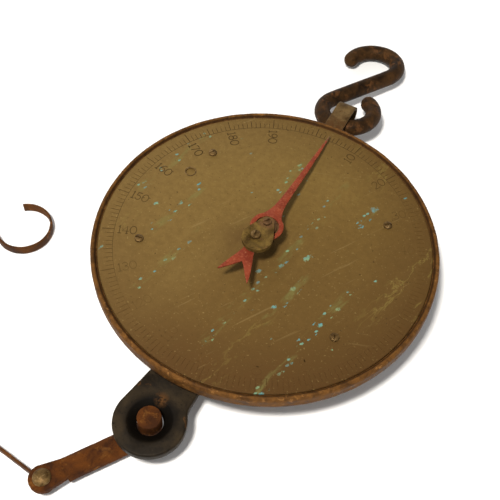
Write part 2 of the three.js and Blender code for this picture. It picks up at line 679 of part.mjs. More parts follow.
// The blade leaves the ring level with it and falls towards the dial.
function pointerBlade() {
  const blade = plate(polygon([
    [-5.4, BLADE_ROOT_Y], [5.9, BLADE_ROOT_Y], [2.9, 17], [2, 45], [1.4, 70], [0.3, BLADE_TIP_Y],
    [-0.3, BLADE_TIP_Y], [-1, 70], [-1.9, 45], [-2.7, 20],
  ]), ...POINTER_Z);
  const fall = new THREE.Matrix4().makeShear(0, 0, 0, -BLADE_DROP, 0, 0);
  return blade.applyMatrix4(fall).translate(0, 0, BLADE_DROP * BLADE_ROOT_Y);
}

// Sheet pointer: tapered blade, ring about the boss, and a swallow tail.
function pointer() {
  const { outer, inner } = POINTER_RING;
  const tail = plate(polygon([
    [-5.6, -7], [-4.4, -20.2], [-8.1, -28.8], [-11.6, -39.8], [-6.1, -34.7], [-1.3, -28.9],
    [2.7, -33.7], [8.3, -40.9], [7.6, -37], [4.5, -27.6], [1.6, -18.6], [2.8, -9],
  ]), ...POINTER_Z);
  const ring = rod(0, 0, outer, ...POINTER_Z, 40);
  return cut(join(ring, pointerBlade(), tail), rod(0, 0, inner, POINTER_Z[0] - 1, POINTER_Z[1] + 1, 36));
}

// ---- pointer clamp --------------------------------------------------------------------
// A pear-shaped plate: small lobe on the spindle, large lobe over the clamp screw.
function clampPlate() {
  const { small, large } = CLAMP;
  const dx = large.x - small.x;
  const dy = large.y - small.y;
  const lean = Math.atan2(dy, dx);
  const open = Math.acos((large.r - small.r) / Math.hypot(dx, dy));
  const shape = new THREE.Shape();
  shape.absarc(large.x, large.y, large.r, lean - Math.PI + open, lean + Math.PI - open, false);
  shape.absarc(small.x, small.y, small.r, lean + Math.PI - open, lean + Math.PI + open, false);
  shape.closePath();
  const blank = plate(shape, ...CLAMP_Z, 14);
  const { x, y } = CLAMP_SCREW;
  const recess = rod(x, y, CLAMP_RECESS.r, CLAMP_Z[1] - CLAMP_RECESS.depth, CLAMP_Z[1] + 2, 24);
  const hole = rod(x, y, 2.4, CLAMP_Z[0] - 1, CLAMP_Z[1] + 1);
  return cut(blank, recess, hole, rod(small.x, small.y, 1.9, CLAMP_Z[0] - 1, CLAMP_Z[1] + 1));
}

function clampScrew() {
  const headBottom = CLAMP_Z[1] - CLAMP_RECESS.depth + GAP;
  return slottedScrew(CLAMP_SCREW.x, CLAMP_SCREW.y, 3, 2.3, headBottom, 2, POINTER_Z[1] + 2 * GAP, 1.25);
}

const spindleScrew = () => slottedScrew(0, 0, 2.6, 1.8, CLAMP_Z[1] + GAP, 1.5, BOSS_TOP - 1, 0.4);

function clampSpacer() {
  return turned(bushProfile(2.4, 3.7, POINTER_Z[1] + GAP, CLAMP_Z[0] - GAP), 20)
    .translate(CLAMP_SCREW.x, CLAMP_SCREW.y, 0);
}

function addPointer() {
  add('spindle', spindle(), materials.steel());
  add('pinion', pinion(), materials.brass());
  add('back_bush', turned(bushProfile(2, 5, FRAME_BOTTOM, FRAME_TOP), 24), materials.brass());
  const frontBush = turned(bushProfile(SPINDLE_BORE_R, 4, BRIDGE_BOTTOM, BRIDGE_TOP + 0.4), 24);
  add('front_bush', frontBush, materials.brass());
  add('bearing_bridge', bearingBridge(), materials.brass());
  BRIDGE_POSTS.forEach((x, i) => {
    const tag = ['left', 'right'][i];
    add(`bridge_post_${tag}`, bridgePost(x), materials.steel());
    add(`bridge_nut_${tag}`, bridgeNut(x), materials.steel());
  });
  add('pointer_boss', pointerBoss(), materials.brass());
  add('pointer', pointer(), materials.redPaint());
  add('clamp_plate', clampPlate(), materials.brass());
  add('clamp_screw', clampScrew(), materials.steel());
  add('clamp_spacer', clampSpacer(), materials.brass());
  add('spindle_screw', spindleScrew(), materials.steel());
}

// ---- load link and strip hook -----------------------------------------------------------
// A round bar: its end turns up through the eye, its shank runs flat to a forged tongue.
function loadLink() {
  const away = new THREE.Vector3(Math.cos(rad(LINK_HEADING)), Math.sin(rad(LINK_HEADING)), 0);
  const eye = new THREE.Vector3(LINE_X, LUG_EYE.y, 0);
  const at = (distance, z) => eye.clone().addScaledVector(away, distance).setZ(z);
  const route = [at(0, LINK_TOP - LINK_R), at(0, LINK_TOP - LINK_R - 1)];
  for (let i = 0; i <= 6; i += 1) {
    const turn = rad(15 * i);
    const height = LINK_Z + LINK_BEND_R * (1 - Math.sin(turn));
    route.push(at(LINK_BEND_R * (1 - Math.cos(turn)), height));
  }
  route.push(at(20, LINK_Z), at(32, LINK_Z), at(LINK_LENGTH - 12, LINK_Z));
  const bar = swept(new THREE.CatmullRomCurve3(route), roundSection(LINK_R), 24);
  const dome = new THREE.SphereGeometry(LINK_R * 0.985, 10, 6);
  dome.translate(eye.x, eye.y, LINK_TOP - LINK_R);
  const end = at(LINK_LENGTH, 0);
  const tongueBottom = STRIP_Z[1] + GAP;
  const tongue = plate(tongueShape(), tongueBottom, tongueBottom + TONGUE_THICK, 8);
  tongue.rotateZ(rad(LINK_HEADING)).translate(end.x, end.y, 0);
  return cut(join(bar, dome, tongue), rod(end.x, end.y, HOOK_RIVET_HOLE_R, 0, 30));
}

// The flattened end of the link, drawn along +X with its rivet hole at the origin.
function tongueShape() {
  const shape = new THREE.Shape();
  shape.moveTo(-16, -5);
  shape.lineTo(0, -7.5);
  shape.absarc(0, 0, 7.5, -Math.PI / 2, Math.PI / 2, false);
  shape.lineTo(-16, 5);
  shape.closePath();
  return shape;
}

function linkEnd() {
  const heading = rad(LINK_HEADING);
  return [LINE_X + LINK_LENGTH * Math.cos(heading), LUG_EYE.y + LINK_LENGTH * Math.sin(heading)];
}

function hookRivet() {
  const head = STRIP_Z[1] + 2 * GAP + TONGUE_THICK;
  const [x, y] = linkEnd();
  return turned([
    [0, STRIP_Z[0]], [2.5, STRIP_Z[0]], [2.5, head], [5, head], [4, head + 1.6], [0, head + 2.2],
  ], 12).translate(x, y, 0);
}

// A flat strip standing on edge: rolled eye, straight shank, wide bow and a small curled tip.
function stripHook() {
  const [eyeX, eyeY] = linkEnd();
  const { tip, bow } = STRIP;
  const joinAngle = tip.to;
  const reach = tip.r + bow.r;
  const bowX = tip.x + reach * Math.cos(rad(joinAngle));
  const bowY = tip.y + reach * Math.sin(rad(joinAngle));
  const curl = arcPoints(tip.x, tip.y, tip.r, tip.from, joinAngle, 16);
  const bend = arcPoints(bowX, bowY, bow.r, joinAngle + 180, bow.to, 20).slice(1);
  const last = bend[bend.length - 1];
  const shankEnd = new THREE.Vector3(eyeX - 0.7 * STRIP_EYE_R, eyeY + 0.4, 0);
  const shank = [0.25, 0.5, 0.75, 1].map((t) => last.clone().lerp(shankEnd, t));
  const route = new THREE.CatmullRomCurve3([...curl, ...bend, ...shank]);
  const strip = plate(ribbonShape(route, STRIP_THICK, 70), ...STRIP_Z);
  const eye = rod(eyeX, eyeY, STRIP_EYE_R, ...STRIP_Z, 20);
  return cut(join(strip, eye), rod(eyeX, eyeY, HOOK_RIVET_HOLE_R, -5, 20));
}

// The outline of a ribbon of constant thickness along a flat route.
function ribbonShape(route, thickness, steps) {
  const near = [];
  const far = [];
  for (let i = 0; i <= steps; i += 1) {
    const point = route.getPointAt(i / steps);
    const along = route.getTangentAt(i / steps);
    const side = new THREE.Vector3(-along.y, along.x, 0).multiplyScalar(thickness / 2);
    near.push([point.x + side.x, point.y + side.y]);
    far.unshift([point.x - side.x, point.y - side.y]);
  }
  return polygon([...near, ...far]);
}

function addLoadHook() {
  add('load_link', loadLink(), materials.rust());
  add('hook_rivet', hookRivet(), materials.steel());
  add('strip_hook', stripHook(), materials.rust());
}

addCase();
addHanger();
addSprings();
addDrawBar();
addPointer();
addLoadHook();

export default scale;
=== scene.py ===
"""Looks of the hanging spring scale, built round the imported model. Metres, in the CAD frame."""
import json
from math import acos, atan2, cos, degrees, hypot, pi, radians, sin, sqrt

import bmesh
import bpy
from mathutils import Matrix, Vector, noise


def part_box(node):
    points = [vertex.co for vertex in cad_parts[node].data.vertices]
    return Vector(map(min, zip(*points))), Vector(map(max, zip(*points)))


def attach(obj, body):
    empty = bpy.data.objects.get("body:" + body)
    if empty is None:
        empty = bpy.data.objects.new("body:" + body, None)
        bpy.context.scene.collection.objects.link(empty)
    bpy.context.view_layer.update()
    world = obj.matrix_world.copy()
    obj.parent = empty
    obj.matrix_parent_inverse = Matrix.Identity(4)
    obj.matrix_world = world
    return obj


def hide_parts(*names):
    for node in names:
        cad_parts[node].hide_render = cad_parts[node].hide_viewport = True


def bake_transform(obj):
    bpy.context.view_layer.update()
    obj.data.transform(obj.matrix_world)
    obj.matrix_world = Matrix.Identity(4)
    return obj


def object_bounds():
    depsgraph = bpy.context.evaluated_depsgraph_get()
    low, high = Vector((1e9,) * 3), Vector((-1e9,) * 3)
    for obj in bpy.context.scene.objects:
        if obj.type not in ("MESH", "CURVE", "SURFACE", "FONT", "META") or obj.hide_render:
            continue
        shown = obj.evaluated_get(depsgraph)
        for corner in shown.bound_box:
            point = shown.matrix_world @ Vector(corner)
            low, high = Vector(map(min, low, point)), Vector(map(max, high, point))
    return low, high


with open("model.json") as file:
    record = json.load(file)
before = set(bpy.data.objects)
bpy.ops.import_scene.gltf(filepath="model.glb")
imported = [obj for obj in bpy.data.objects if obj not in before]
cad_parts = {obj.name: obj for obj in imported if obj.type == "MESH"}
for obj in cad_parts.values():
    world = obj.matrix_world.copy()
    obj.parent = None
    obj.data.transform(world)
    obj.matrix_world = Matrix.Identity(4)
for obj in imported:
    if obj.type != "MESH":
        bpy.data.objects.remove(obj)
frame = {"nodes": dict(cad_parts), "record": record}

CAD_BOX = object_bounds()
MM = 0.001

# ---- places and sizes, in millimetres and degrees (the screws' slots turn in radians) ----
DIAL_TOP, DIAL_THICK = 34.0, 1.5
DIAL_R, DIAL_HOLE_R = 100.6, 5.0
DIAL_EDGE_DROP = 0.35
# For a screw, slot is half the slot's width as a share of the head's radius.
DIAL_SCREW = {"hole": 1.9, "head": 2.65, "height": 1.9, "slot": 0.17}
DIAL_SCREW_TURNS = (0.5, 1.9, 0.2, 1.1)
SPARE_HOLE = {"r": 3.0, "from_centre": 70.7, "clockwise": 290.3, "deep": 1.25}
GRADUATION_ZERO = 5.7          # anticlockwise of +Y
DIVISIONS = 200
INNER_RING_R, INNER_RING_HALF = 91.6, 0.14
TICK_END = {"short": 95.6, "middle": 97.2, "long": 99.2}
TICK_WIDTH = {"short": 0.26, "middle": 0.32, "long": 0.4}
GROOVE_DEPTH, GROOVE_FLANK = 0.16, 0.05
NUMBER_OUTER_R, NUMBER_HEIGHT = 90.0, 5.5
NUMBER_STROKE, NUMBER_LIFT = 0.55, 0.03

RIM_R, RIM_SKIRT_R, RIM_LIP_R = 105.0, 103.0, 101.4
RIM_BOTTOM, RIM_LIP_BOTTOM, RIM_TOP = 27.0, 31.0, 35.4
RUST_LEDGE_TOP = 33.35

SHELL_R, SHELL_BASE_R, SHELL_WALL = 102.6, 91.5, 1.6
SHELL_FOOT, SHELL_SHOULDER, SHELL_TOP = 1.2, 26.0, 30.6
SLOT_CLEARANCE = 0.8

# The load's line runs along Y at this X and Z.
LINE_X, LOAD_Z = -4.35, 18.6
STRAP_WIDTH, STRAP_THICK = 12.8, 2.0
STRAP_INNER, STRAP_LEG_INNER = 6.7, 6.1
STRAP_END_Y, STRAP_BEND_Y = 44.0, 131.8
STRAP_JOGGLE_Y = (107.0, 114.0)

LUG_HALF_THICK, LUG_NECK_HALF, LUG_FILLET = 3.0, 15.2, 12.0
LUG_EYE = {"y": -127.2, "outer": 20.3, "mouth": 12.9, "throat": 7.3}
LUG_SHOULDER = {"top": -99.5, "x": -16.0, "y": -103.0, "meets": 167}
DRAW_TOP_Y = -38.3
TIE_RIVET_Y, TIE_RIVET_R = -49.5, 1.8

S_BAR_R, S_LOOP_R, S_LOOP_Y = 5.7, 18.1, 139.0
S_TILT, S_ROLL = 6.9, -5.4
S_FREE_END, S_HEADING = 57.0, 58.2
S_SHANK, S_UPPER_END = 49.8, 120

LINK_R, LINK_TOP, LINK_Z = 6.8, 25.6, 6.9
LINK_BEND_R, LINK_LENGTH, LINK_HEADING = 10.0, 62.0, 235.0
TONGUE = {"root": -17, "half": 4.8, "nose": 7.4, "thick": 5.0}
RIVET = {"hole": 2.9, "shank": 2.5, "head": 5, "rise": 2.2}
JOINT_GAP = 0.3

STRIP_LOW, STRIP_HIGH, STRIP_THICK = 0.3, 6.4, 1.66
STRIP_EYE_R = 5.0
TIP = {"x": -149.8, "y": -47.3, "r": 17.3, "from": 129.0, "to": -118.0}
BOW = {"r": 52.0, "to": 266.0}

POINTER_LOW, POINTER_HIGH = 47.2, 48.2
POINTER_OUTER_R, POINTER_INNER_R = 10.0, 7.2
BLADE_ROOT_Y, BLADE_DROP = 8.0, 0.124
BOSS_R, BOSS_TOP = 6.1, 48.9
BOSS_FOOT, BOSS_BORE_R, BOSS_SLEEVE_R, BOSS_COLLAR_R = 36, 2.3, 4, 9
CLAMP_LOW, CLAMP_HIGH = 49.2, 51.8
# The clamp plate's two round ends, as x, y and radius.
CLAMP_SMALL = (0.0, 0.0, 4.4)
CLAMP_LARGE = (-0.1, -11.9, 9.2)
CLAMP_RECESS_DEPTH = 1.6
CLAMP_SCREW_AT, CLAMP_SCREW_TURN = (-2.0, -10.6), 1.67
CLAMP_SCREW = {"hole": 2.4, "head": 2.95, "height": 2.3, "slot": 0.22}
SPINDLE_SCREW_TURN = 0.9
SPINDLE_SCREW = {"hole": 1.9, "head": 2.55, "height": 1.95, "slot": 0.2}

SPRING_R, SPRING_WIRE, SPRING_OFFSET = 9.0, 3.0, 38.0
SPRING_LOW_Y, SPRING_HIGH_Y, SPRING_TURNS = -18.0, 42.0, 17
SPRING_STEPS, SPRING_SIDES = 24, 12

CAMERA_MM = (110.8, -258.4, 429.6)
CAMERA_HEADING, CAMERA_DOWN, CAMERA_ROLL = -25.06, 55.39, 3.12
CAMERA_LENS, CAMERA_SENSOR = 57.97, 36

# ---- the stage, in metres and watts ----
FLOOR_HALF, FLOOR_GAP = 12.0, 0.0005
FLOOR_COLOR = (0.95, 0.95, 0.95)
GLOW_START, GLOW_END, GLOW_STRENGTH = 0.5, 1.6, 0.62
# The sky's strength falls with height, here as the Z of a direction.
SKY = {"From Min": 0.25, "From Max": 0.60, "To Min": 1.0, "To Max": 0.22}
KEY_LIGHT = {"place": (-0.035, -0.42, 1.02), "size": 0.14, "power": 15.0, "color": (1.0, 0.96, 0.90)}
FILL_LIGHT = {"place": (-0.9, 0.6, 0.7), "size": 1.0, "power": 3.0, "color": (1.0, 0.98, 0.96)}


# ---- camera, floor and light ----
def link(piece):
    bpy.context.scene.collection.objects.link(piece)


def make_camera():
    heading, down, roll = (radians(a) for a in (CAMERA_HEADING, CAMERA_DOWN, CAMERA_ROLL))
    level_forward = Vector((sin(heading), cos(heading), 0))
    forward = level_forward * cos(down) + Vector((0, 0, -sin(down)))
    level = Vector((cos(heading), -sin(heading), 0))
    right = cos(roll) * level + sin(roll) * level.cross(forward)
    up = right.cross(forward)
    data = bpy.data.cameras.new("photo_camera")
    data.lens = CAMERA_LENS
    data.sensor_width = CAMERA_SENSOR
    camera = bpy.data.objects.new("photo_camera", data)
    rotation = Matrix((right, up, -forward)).transposed().to_4x4()
    camera.matrix_world = Matrix.Translation(Vector(CAMERA_MM) * MM) @ rotation
    link(camera)
    bpy.context.scene.camera = camera


def area_light(name, place, size, power, color):
    data = bpy.data.lights.new(name, "AREA")
    data.size = size
    data.energy = power
    data.color = color
    light = bpy.data.objects.new(name, data)
    light.location = place
    light.rotation_euler = (-Vector(place)).to_track_quat("-Z", "Y").to_euler()
    link(light)


def make_stage():
    half, low = FLOOR_HALF, CAD_BOX[0][2] - FLOOR_GAP
    corners = [(-half, -half, low), (half, -half, low), (half, half, low), (-half, half, low)]
    mesh = bpy.data.meshes.new("floor")
    mesh.from_pydata(corners, [], [(0, 1, 2, 3)])
    floor = bpy.data.objects.new("floor", mesh)
    link(floor)
    # Beyond the lamps' reach the floor glows a little, so it stays pale as far as it is seen.
    p = Paint("floor_paint")
    glow = p.ramp(p.length(p.place), GLOW_START, GLOW_END, 0.0, GLOW_STRENGTH)
    p.feed(p.surface, {"Emission Color": (1.0, 1.0, 1.0), "Emission Strength": glow})
    p.color = FLOOR_COLOR
    mesh.materials.append(p.finish(0.9, 0.0, 0.5))
    world = bpy.data.worlds.new("studio")
    world.use_nodes = True
    nodes, links = world.node_tree.nodes, world.node_tree.links
    sky = nodes["Background"]
    sky.inputs["Color"].default_value = (1, 1, 1, 1)
    # The sky is white at the horizon and dimmer overhead.
    split = nodes.new("ShaderNodeSeparateXYZ")
    links.new(nodes.new("ShaderNodeTexCoord").outputs["Generated"], split.inputs[0])
    height = nodes.new("ShaderNodeMapRange")
    links.new(split.outputs["Z"], height.inputs["Value"])
    for name, value in SKY.items():
        height.inputs[name].default_value = value
    links.new(height.outputs["Result"], sky.inputs["Strength"])
    bpy.context.scene.world = world
    area_light("key", **KEY_LIGHT)
    area_light("fill", **FILL_LIGHT)
    bpy.context.scene.view_settings.view_transform = "Standard"


# ---- materials ----
class Paint:
    """A node material in object coordinates, in metres. Each layer goes over the color so far."""

    def __init__(self, name):
        self.material = bpy.data.materials.new(name)
        self.material.use_nodes = True
        self.tree = self.material.node_tree
        self.surface = self.tree.nodes["Principled BSDF"]
        self.place = self.add("ShaderNodeTexCoord", {}).outputs["Object"]
        self.color = None

    def feed(self, node, inputs):
        """Each input takes a number, a vector, a color or another node's output."""
        for name, value in inputs.items():
            socket = node.inputs[name]
            if isinstance(value, bpy.types.NodeSocket):
                self.tree.links.new(value, socket)
            else:
                socket.default_value = (*value, 1) if socket.type == "RGBA" else value

    def add(self, kind, inputs, **props):
        node = self.tree.nodes.new(kind)
        for name, value in props.items():
            setattr(node, name, value)
        self.feed(node, inputs)
        return node

    def stretched(self, scale, turn):
        """Coordinates turned about Z, then scaled: a small scale draws a pattern out."""
        turning = {"Vector": self.place, "Rotation": (0, 0, radians(turn))}
        turned_place = self.add("ShaderNodeMapping", turning).outputs["Vector"]
        return self.add("ShaderNodeMapping", {"Vector": turned_place, "Scale": scale}).outputs["Vector"]

    def noise(self, scale, detail=5.0, rough=0.55, distortion=0.0, vector=None):
        inputs = {"Vector": vector or self.place, "Scale": scale, "Detail": detail,
                  "Roughness": rough, "Distortion": distortion}
        return self.add("ShaderNodeTexNoise", inputs).outputs["Fac"]

    def cells(self, scale, vector):
        """Distance to each cell's centre, and a random number for the cell."""
        node = self.add("ShaderNodeTexVoronoi", {"Vector": vector, "Scale": scale})
        pick = self.add("ShaderNodeSeparateColor", {0: node.outputs["Color"]})
        return node.outputs["Distance"], pick.outputs[0]

    def axes(self, turn):
        """The coordinates across and along a direction that leans clockwise from +Y."""
        split = self.add("ShaderNodeSeparateXYZ", {0: self.stretched((1.0, 1.0, 1.0), turn)})
        return split.outputs["X"], split.outputs["Y"]

    def ramp(self, fac, low, high, to_low=0.0, to_high=1.0):
        """to_low at low, to_high at high, a straight run between and level beyond."""
        inputs = {"Value": fac, "From Min": low, "From Max": high, "To Min": to_low, "To Max": to_high}
        return self.add("ShaderNodeMapRange", inputs).outputs["Result"]

    def math(self, operation, a, b):
        return self.add("ShaderNodeMath", {0: a, 1: b}, operation=operation).outputs[0]

    def times(self, a, b):
        return self.math("MULTIPLY", a, b)

    def mix(self, fac, a, b):
        """Color a where fac is 0 and color b where it is 1."""
        return self.add("ShaderNodeMix", {"Factor": fac, 6: a, 7: b}, data_type="RGBA").outputs[2]

    def over(self, fac, color):
        self.color = self.mix(fac, self.color, color)

    def band(self, value, middle, half, soft):
        """1 within half of the middle of a coordinate, fading to 0 over soft, in millimetres."""
        away = self.math("ABSOLUTE", self.math("SUBTRACT", value, middle * MM), 0.0)
        return self.ramp(away, half * MM, (half + soft) * MM, 1.0, 0.0)

    def length(self, vector):
        """Metres from the origin."""
        return self.add("ShaderNodeVectorMath", {0: vector}, operation="LENGTH").outputs["Value"]

    def near(self, x, y, z, inner, outer):
        """1 within inner millimetres of a place, fading to 0 at outer."""
        inputs = {0: self.place, 1: (x * MM, y * MM, z * MM)}
        away = self.add("ShaderNodeVectorMath", inputs, operation="DISTANCE").outputs["Value"]
        return self.ramp(away, inner * MM, outer * MM, 1.0, 0.0)

    def bump(self, *layers):
        """Each layer is (height, strength, distance in millimetres)."""
        below = {}
        for height, strength, distance in layers:
            inputs = {"Height": height, "Strength": strength, "Distance": distance * MM, **below}
            below = {"Normal": self.add("ShaderNodeBump", inputs).outputs["Normal"]}
        self.feed(self.surface, below)

    def finish(self, roughness, metallic, shine=0.14):
        self.feed(self.surface, {"Base Color": self.color, "Roughness": roughness, "Metallic": metallic,
                                 "Specular IOR Level": shine})
        return self.material


STREAK_TURN = 12.0             # the dial's streaks lean this far clockwise from +Y
# Rows of verdigris run with the streaks: (across, start, end, half width), in millimetres.
VERDIGRIS_ROWS = (
    (-84.5, -20, 38, 2.5), (-56.5, -38, 6, 2.4), (-35, -74, -20, 1.8), (-18.5, 30, 62, 1.6),
    (17, -74, 34, 2.2), (35.5, -44, -6, 1.8), (36.5, 46, 62, 1.6), (60, -80, 2, 2.0), (13, 46, 66, 1.5),
)
# Its flecks come in three sizes: (cells in a metre, size as a share of a cell).
VERDIGRIS_FLECKS = ((125, 0.23), (240, 0.29), (430, 0.34))


def brass_tone(p):
    """The dial's worn brown-gold: clouds and long streaks, darker towards the edge. Painted shade darkens the
    lower right and painted light makes the left paler, and round the hub a brown stain goes with painted
    shade."""
    tone = p.ramp(p.noise(9, 6, 0.6), 0.32, 0.68)
    p.color = p.mix(tone, (0.158, 0.094, 0.0235), (0.204, 0.127, 0.034))
    long_streaks = p.stretched((1.0, 0.11, 1.0), STREAK_TURN)
    light = p.ramp(p.noise(42, 6, 0.6, 0.2, long_streaks), 0.5, 0.8, 0.0, 0.8)
    p.over(light, (0.235, 0.154, 0.044))
    dark = p.ramp(p.noise(30, 6, 0.62, 0.3, long_streaks), 0.6, 0.8, 0.0, 0.7)
    p.over(dark, (0.118, 0.066, 0.017))
    edge = p.ramp(p.length(p.place), 0.07, 0.118)
    p.over(edge, (0.098, 0.050, 0.0135))
    # Painted shade: darker towards the lower right, as if the light came from the upper left.
    to_lower_right, _ = p.axes(60.0)
    p.over(p.ramp(to_lower_right, -0.04, 0.145), (0.060, 0.0245, 0.0068))
    # Painted light: paler on the left, as if lit more there.
    from_left, _ = p.axes(15.0)
    p.over(p.ramp(from_left, -0.10, 0.015, 0.45, 0.0), (0.240, 0.158, 0.051))
    # Round the hub: a brown stain, with painted shade under the hub and pointer.
    cloudy = p.ramp(p.noise(45, 5, 0.6), 0.3, 0.6, 0.15, 0.75)
    darkening = p.times(p.near(-5, -7, DIAL_TOP, 10, 30), cloudy)
    p.over(darkening, (0.100, 0.054, 0.016))
    return tone


def verdigris(p):
    """Ragged flecks, crowded along the rows and rare elsewhere."""
    across, along = p.axes(STREAK_TURN)
    across = p.math("ADD", across, p.ramp(p.noise(24, 2), 0.0, 1.0, -0.003, 0.003))
    rows = None
    for middle, start, end, half in VERDIGRIS_ROWS:
        row = p.times(p.band(across, middle, half, 1.6),
                      p.band(along, (start + end) / 2, (end - start) / 2, 5))
        rows = p.math("MAXIMUM", rows, row) if rows else row
    flecks = None
    for scale, size in VERDIGRIS_FLECKS:
        distance, pick = p.cells(scale, p.stretched((1.0, 0.62, 1.0), STREAK_TURN + 18))
        ragged = p.times(p.math("SUBTRACT", p.noise(scale * 4, 3, 0.6), 0.5), 0.6)
        share = p.math("SUBTRACT", 0.995, p.times(rows, 0.34))
        spot = p.times(p.ramp(p.math("ADD", distance, ragged), size, size - 0.08),
                       p.math("GREATER_THAN", pick, share))
        flecks = p.math("MAXIMUM", flecks, spot) if flecks else spot
    return flecks, rows


def dial_brass():
    p = Paint("dial_brass")
    tone = brass_tone(p)
    pits = p.ramp(p.noise(560, 3, 0.6), 0.66, 0.73)
    p.over(pits, (0.038, 0.020, 0.007))
    mottle = p.ramp(p.noise(260, 6, 0.7), 0.3, 0.7)
    p.over(p.times(mottle, 0.4), (0.080, 0.045, 0.012))
    speckle = p.ramp(p.noise(700, 3, 0.6), 0.63, 0.74, 0.0, 0.5)
    p.over(speckle, (0.30, 0.21, 0.075))
    fine = p.stretched((1.0, 0.05, 1.0), STREAK_TURN + 20)
    scratches = p.ramp(p.noise(420, 2, 0.5, 0.0, fine), 0.70, 0.76)
    crossing = p.stretched((0.05, 1.0, 1.0), STREAK_TURN - 30)
    scratches = p.math("MAXIMUM", scratches, p.ramp(p.noise(420, 2, 0.5, 0.0, crossing), 0.74, 0.79))
    p.over(p.times(scratches, 0.28), (0.26, 0.18, 0.07))
    # Thin wandering veins of yellow-olive corrosion, drawn out along the streaks.
    drawn = p.stretched((1.0, 0.32, 1.0), STREAK_TURN + 4)
    vein = p.math("ABSOLUTE", p.math("SUBTRACT", p.noise(55, 6, 0.62, 0.3, drawn), 0.5), 0.0)
    patches = p.ramp(p.noise(22, 3, 0.5, 0.2, drawn), 0.55, 0.66)
    vein = p.times(p.ramp(vein, 0.0, 0.022, 1.0, 0.0), patches)
    p.over(p.times(vein, 0.38), (0.255, 0.195, 0.050))
    # An olive stain along the rows of verdigris, then the flecks themselves.
    flecks, rows = verdigris(p)
    blotches = p.ramp(p.noise(150, 6, 0.66, 0.3, drawn), 0.5, 0.66)
    stain = p.times(blotches, p.ramp(rows, 0.2, 1.0, 0.0, 0.6))
    p.over(stain, (0.160, 0.150, 0.046))
    green = p.mix(p.ramp(p.noise(90, 3), 0.42, 0.58), (0.075, 0.25, 0.27), (0.17, 0.27, 0.14))
    green = p.mix(p.ramp(p.noise(500, 4), 0.5, 0.66, 0.0, 0.7), green, (0.05, 0.075, 0.03))
    strength = p.ramp(p.noise(70, 3, 0.6), 0.40, 0.60, 0.40, 0.92)
    p.over(p.times(flecks, strength), green)
    grain = p.noise(900, 4)
    p.bump((grain, 0.22, 0.04), (pits, -0.4, 0.06), (scratches, -0.25, 0.03), (flecks, 0.5, 0.12))
    rough = p.math("MAXIMUM", p.ramp(tone, 0, 1, 0.58, 0.46), p.times(flecks, 0.9))
    return p.finish(rough, p.ramp(flecks, 0, 1, 0.3, 0.0), 0.1)


def groove_fill():
    """Dark fill in the engraving, worn nearly to brass towards the lower right."""
    p = Paint("groove_fill")
    brass_tone(p)
    to_lower_right, _ = p.axes(40.0)
    faded = p.ramp(to_lower_right, -0.05, 0.03, 0.14, 0.88)
    worn = p.math("ADD", faded, p.ramp(p.noise(28, 4, 0.6), 0.36, 0.66, -0.22, 0.2))
    dark = p.mix(p.ramp(p.noise(300, 3), 0.4, 0.6), (0.024, 0.013, 0.005), (0.040, 0.022, 0.008))
    p.color = p.mix(worn, dark, p.color)
    return p.finish(0.75, 0.15, 0.08)


def scaled(color, factor):
    return tuple(c * factor for c in color)


def rust_metal(name, dark, warm, spot, rough, scale, metal, spots=0.56, patch=None, painted_shade=None,
               line=None):
    """Metal with a dark skin, a warmer bloom, rust spots and fine pits. Patch and the place after it are
    places for near(): a rust patch, and a spot of painted shade as in a recess. Line is the radius of a
    dark line of painted shade about Z, in millimetres."""
    p = Paint(name)
    bloom = p.ramp(p.noise(60 * scale, 6, 0.64, 0.5), 0.38, 0.62)
    p.color = p.mix(bloom, dark, warm)
    blot = p.ramp(p.noise(130 * scale, 5, 0.6, 0.5), spots, spots + 0.1)
    blot = p.times(blot, p.ramp(p.noise(38 * scale), 0.42, 0.56))
    p.over(blot, spot)
    # Painted shade: darker round the given place, as in a shaded recess.
    if painted_shade:
        p.over(p.near(*painted_shade), scaled(dark, 0.3))
    # Painted shade: a dark line round Z, standing in for the shaded gap where two parts meet.
    if line:
        from_axis = p.length(p.stretched((1.0, 1.0, 0.0), 0.0))
        darkening = p.times(p.band(from_axis, line, 0.25, 0.6), 0.75)
        p.over(darkening, scaled(dark, 0.25))
    if patch:
        ragged = p.times(p.near(*patch), p.ramp(p.noise(320, 5, 0.6), 0.36, 0.52))
        p.over(ragged, spot)
    grain = p.noise(620 * scale, 6, 0.7)
    p.over(p.ramp(grain, 0.57, 0.72), scaled(dark, 0.4))
    glints = p.ramp(p.noise(900 * scale, 3, 0.6), 0.66, 0.74, 0.0, 0.5)
    p.over(glints, scaled(warm, 1.7))
    p.bump((p.noise(150 * scale, 5, 0.6), 0.55, 0.35), (grain, 0.5, 0.14), (blot, 0.35, 0.1))
    return p.finish(p.ramp(bloom, 0, 1, rough - 0.12, rough + 0.1), metal, 0.08)


def red_paint():
    """Dull red, mottled and chipped, and worn bare towards the blade's tip."""
    p = Paint("worn_red_paint")
    tone = p.ramp(p.noise(110, 5), 0.35, 0.65)
    p.color = p.mix(tone, (0.128, 0.0185, 0.0072), (0.200, 0.034, 0.0118))
    mottle = p.ramp(p.noise(820, 5, 0.7), 0.51, 0.63, 0.0, 0.42)
    p.over(mottle, (0.32, 0.10, 0.046))
    darkening = p.ramp(p.noise(230, 5, 0.6), 0.6, 0.75)
    p.over(p.times(darkening, 0.7), (0.12, 0.03, 0.018))
    chips = p.ramp(p.noise(420, 4, 0.6), 0.7, 0.73)
    p.over(chips, (0.42, 0.20, 0.10))
    split = p.add("ShaderNodeSeparateXYZ", {0: p.place})
    chipped = p.math("ADD", p.ramp(split.outputs["Y"], 0.045, 0.125), p.noise(260, 6, 0.65, 0.3))
    bare = p.ramp(chipped, 0.96, 1.02)
    p.over(bare, (0.15, 0.085, 0.035))
    p.bump((p.noise(600, 4), 0.3, 0.05), (bare, -0.35, 0.06), (chips, -0.4, 0.05))
    return p.finish(p.ramp(darkening, 0, 1, 0.5, 0.7), p.ramp(bare, 0, 1, 0.0, 0.4))


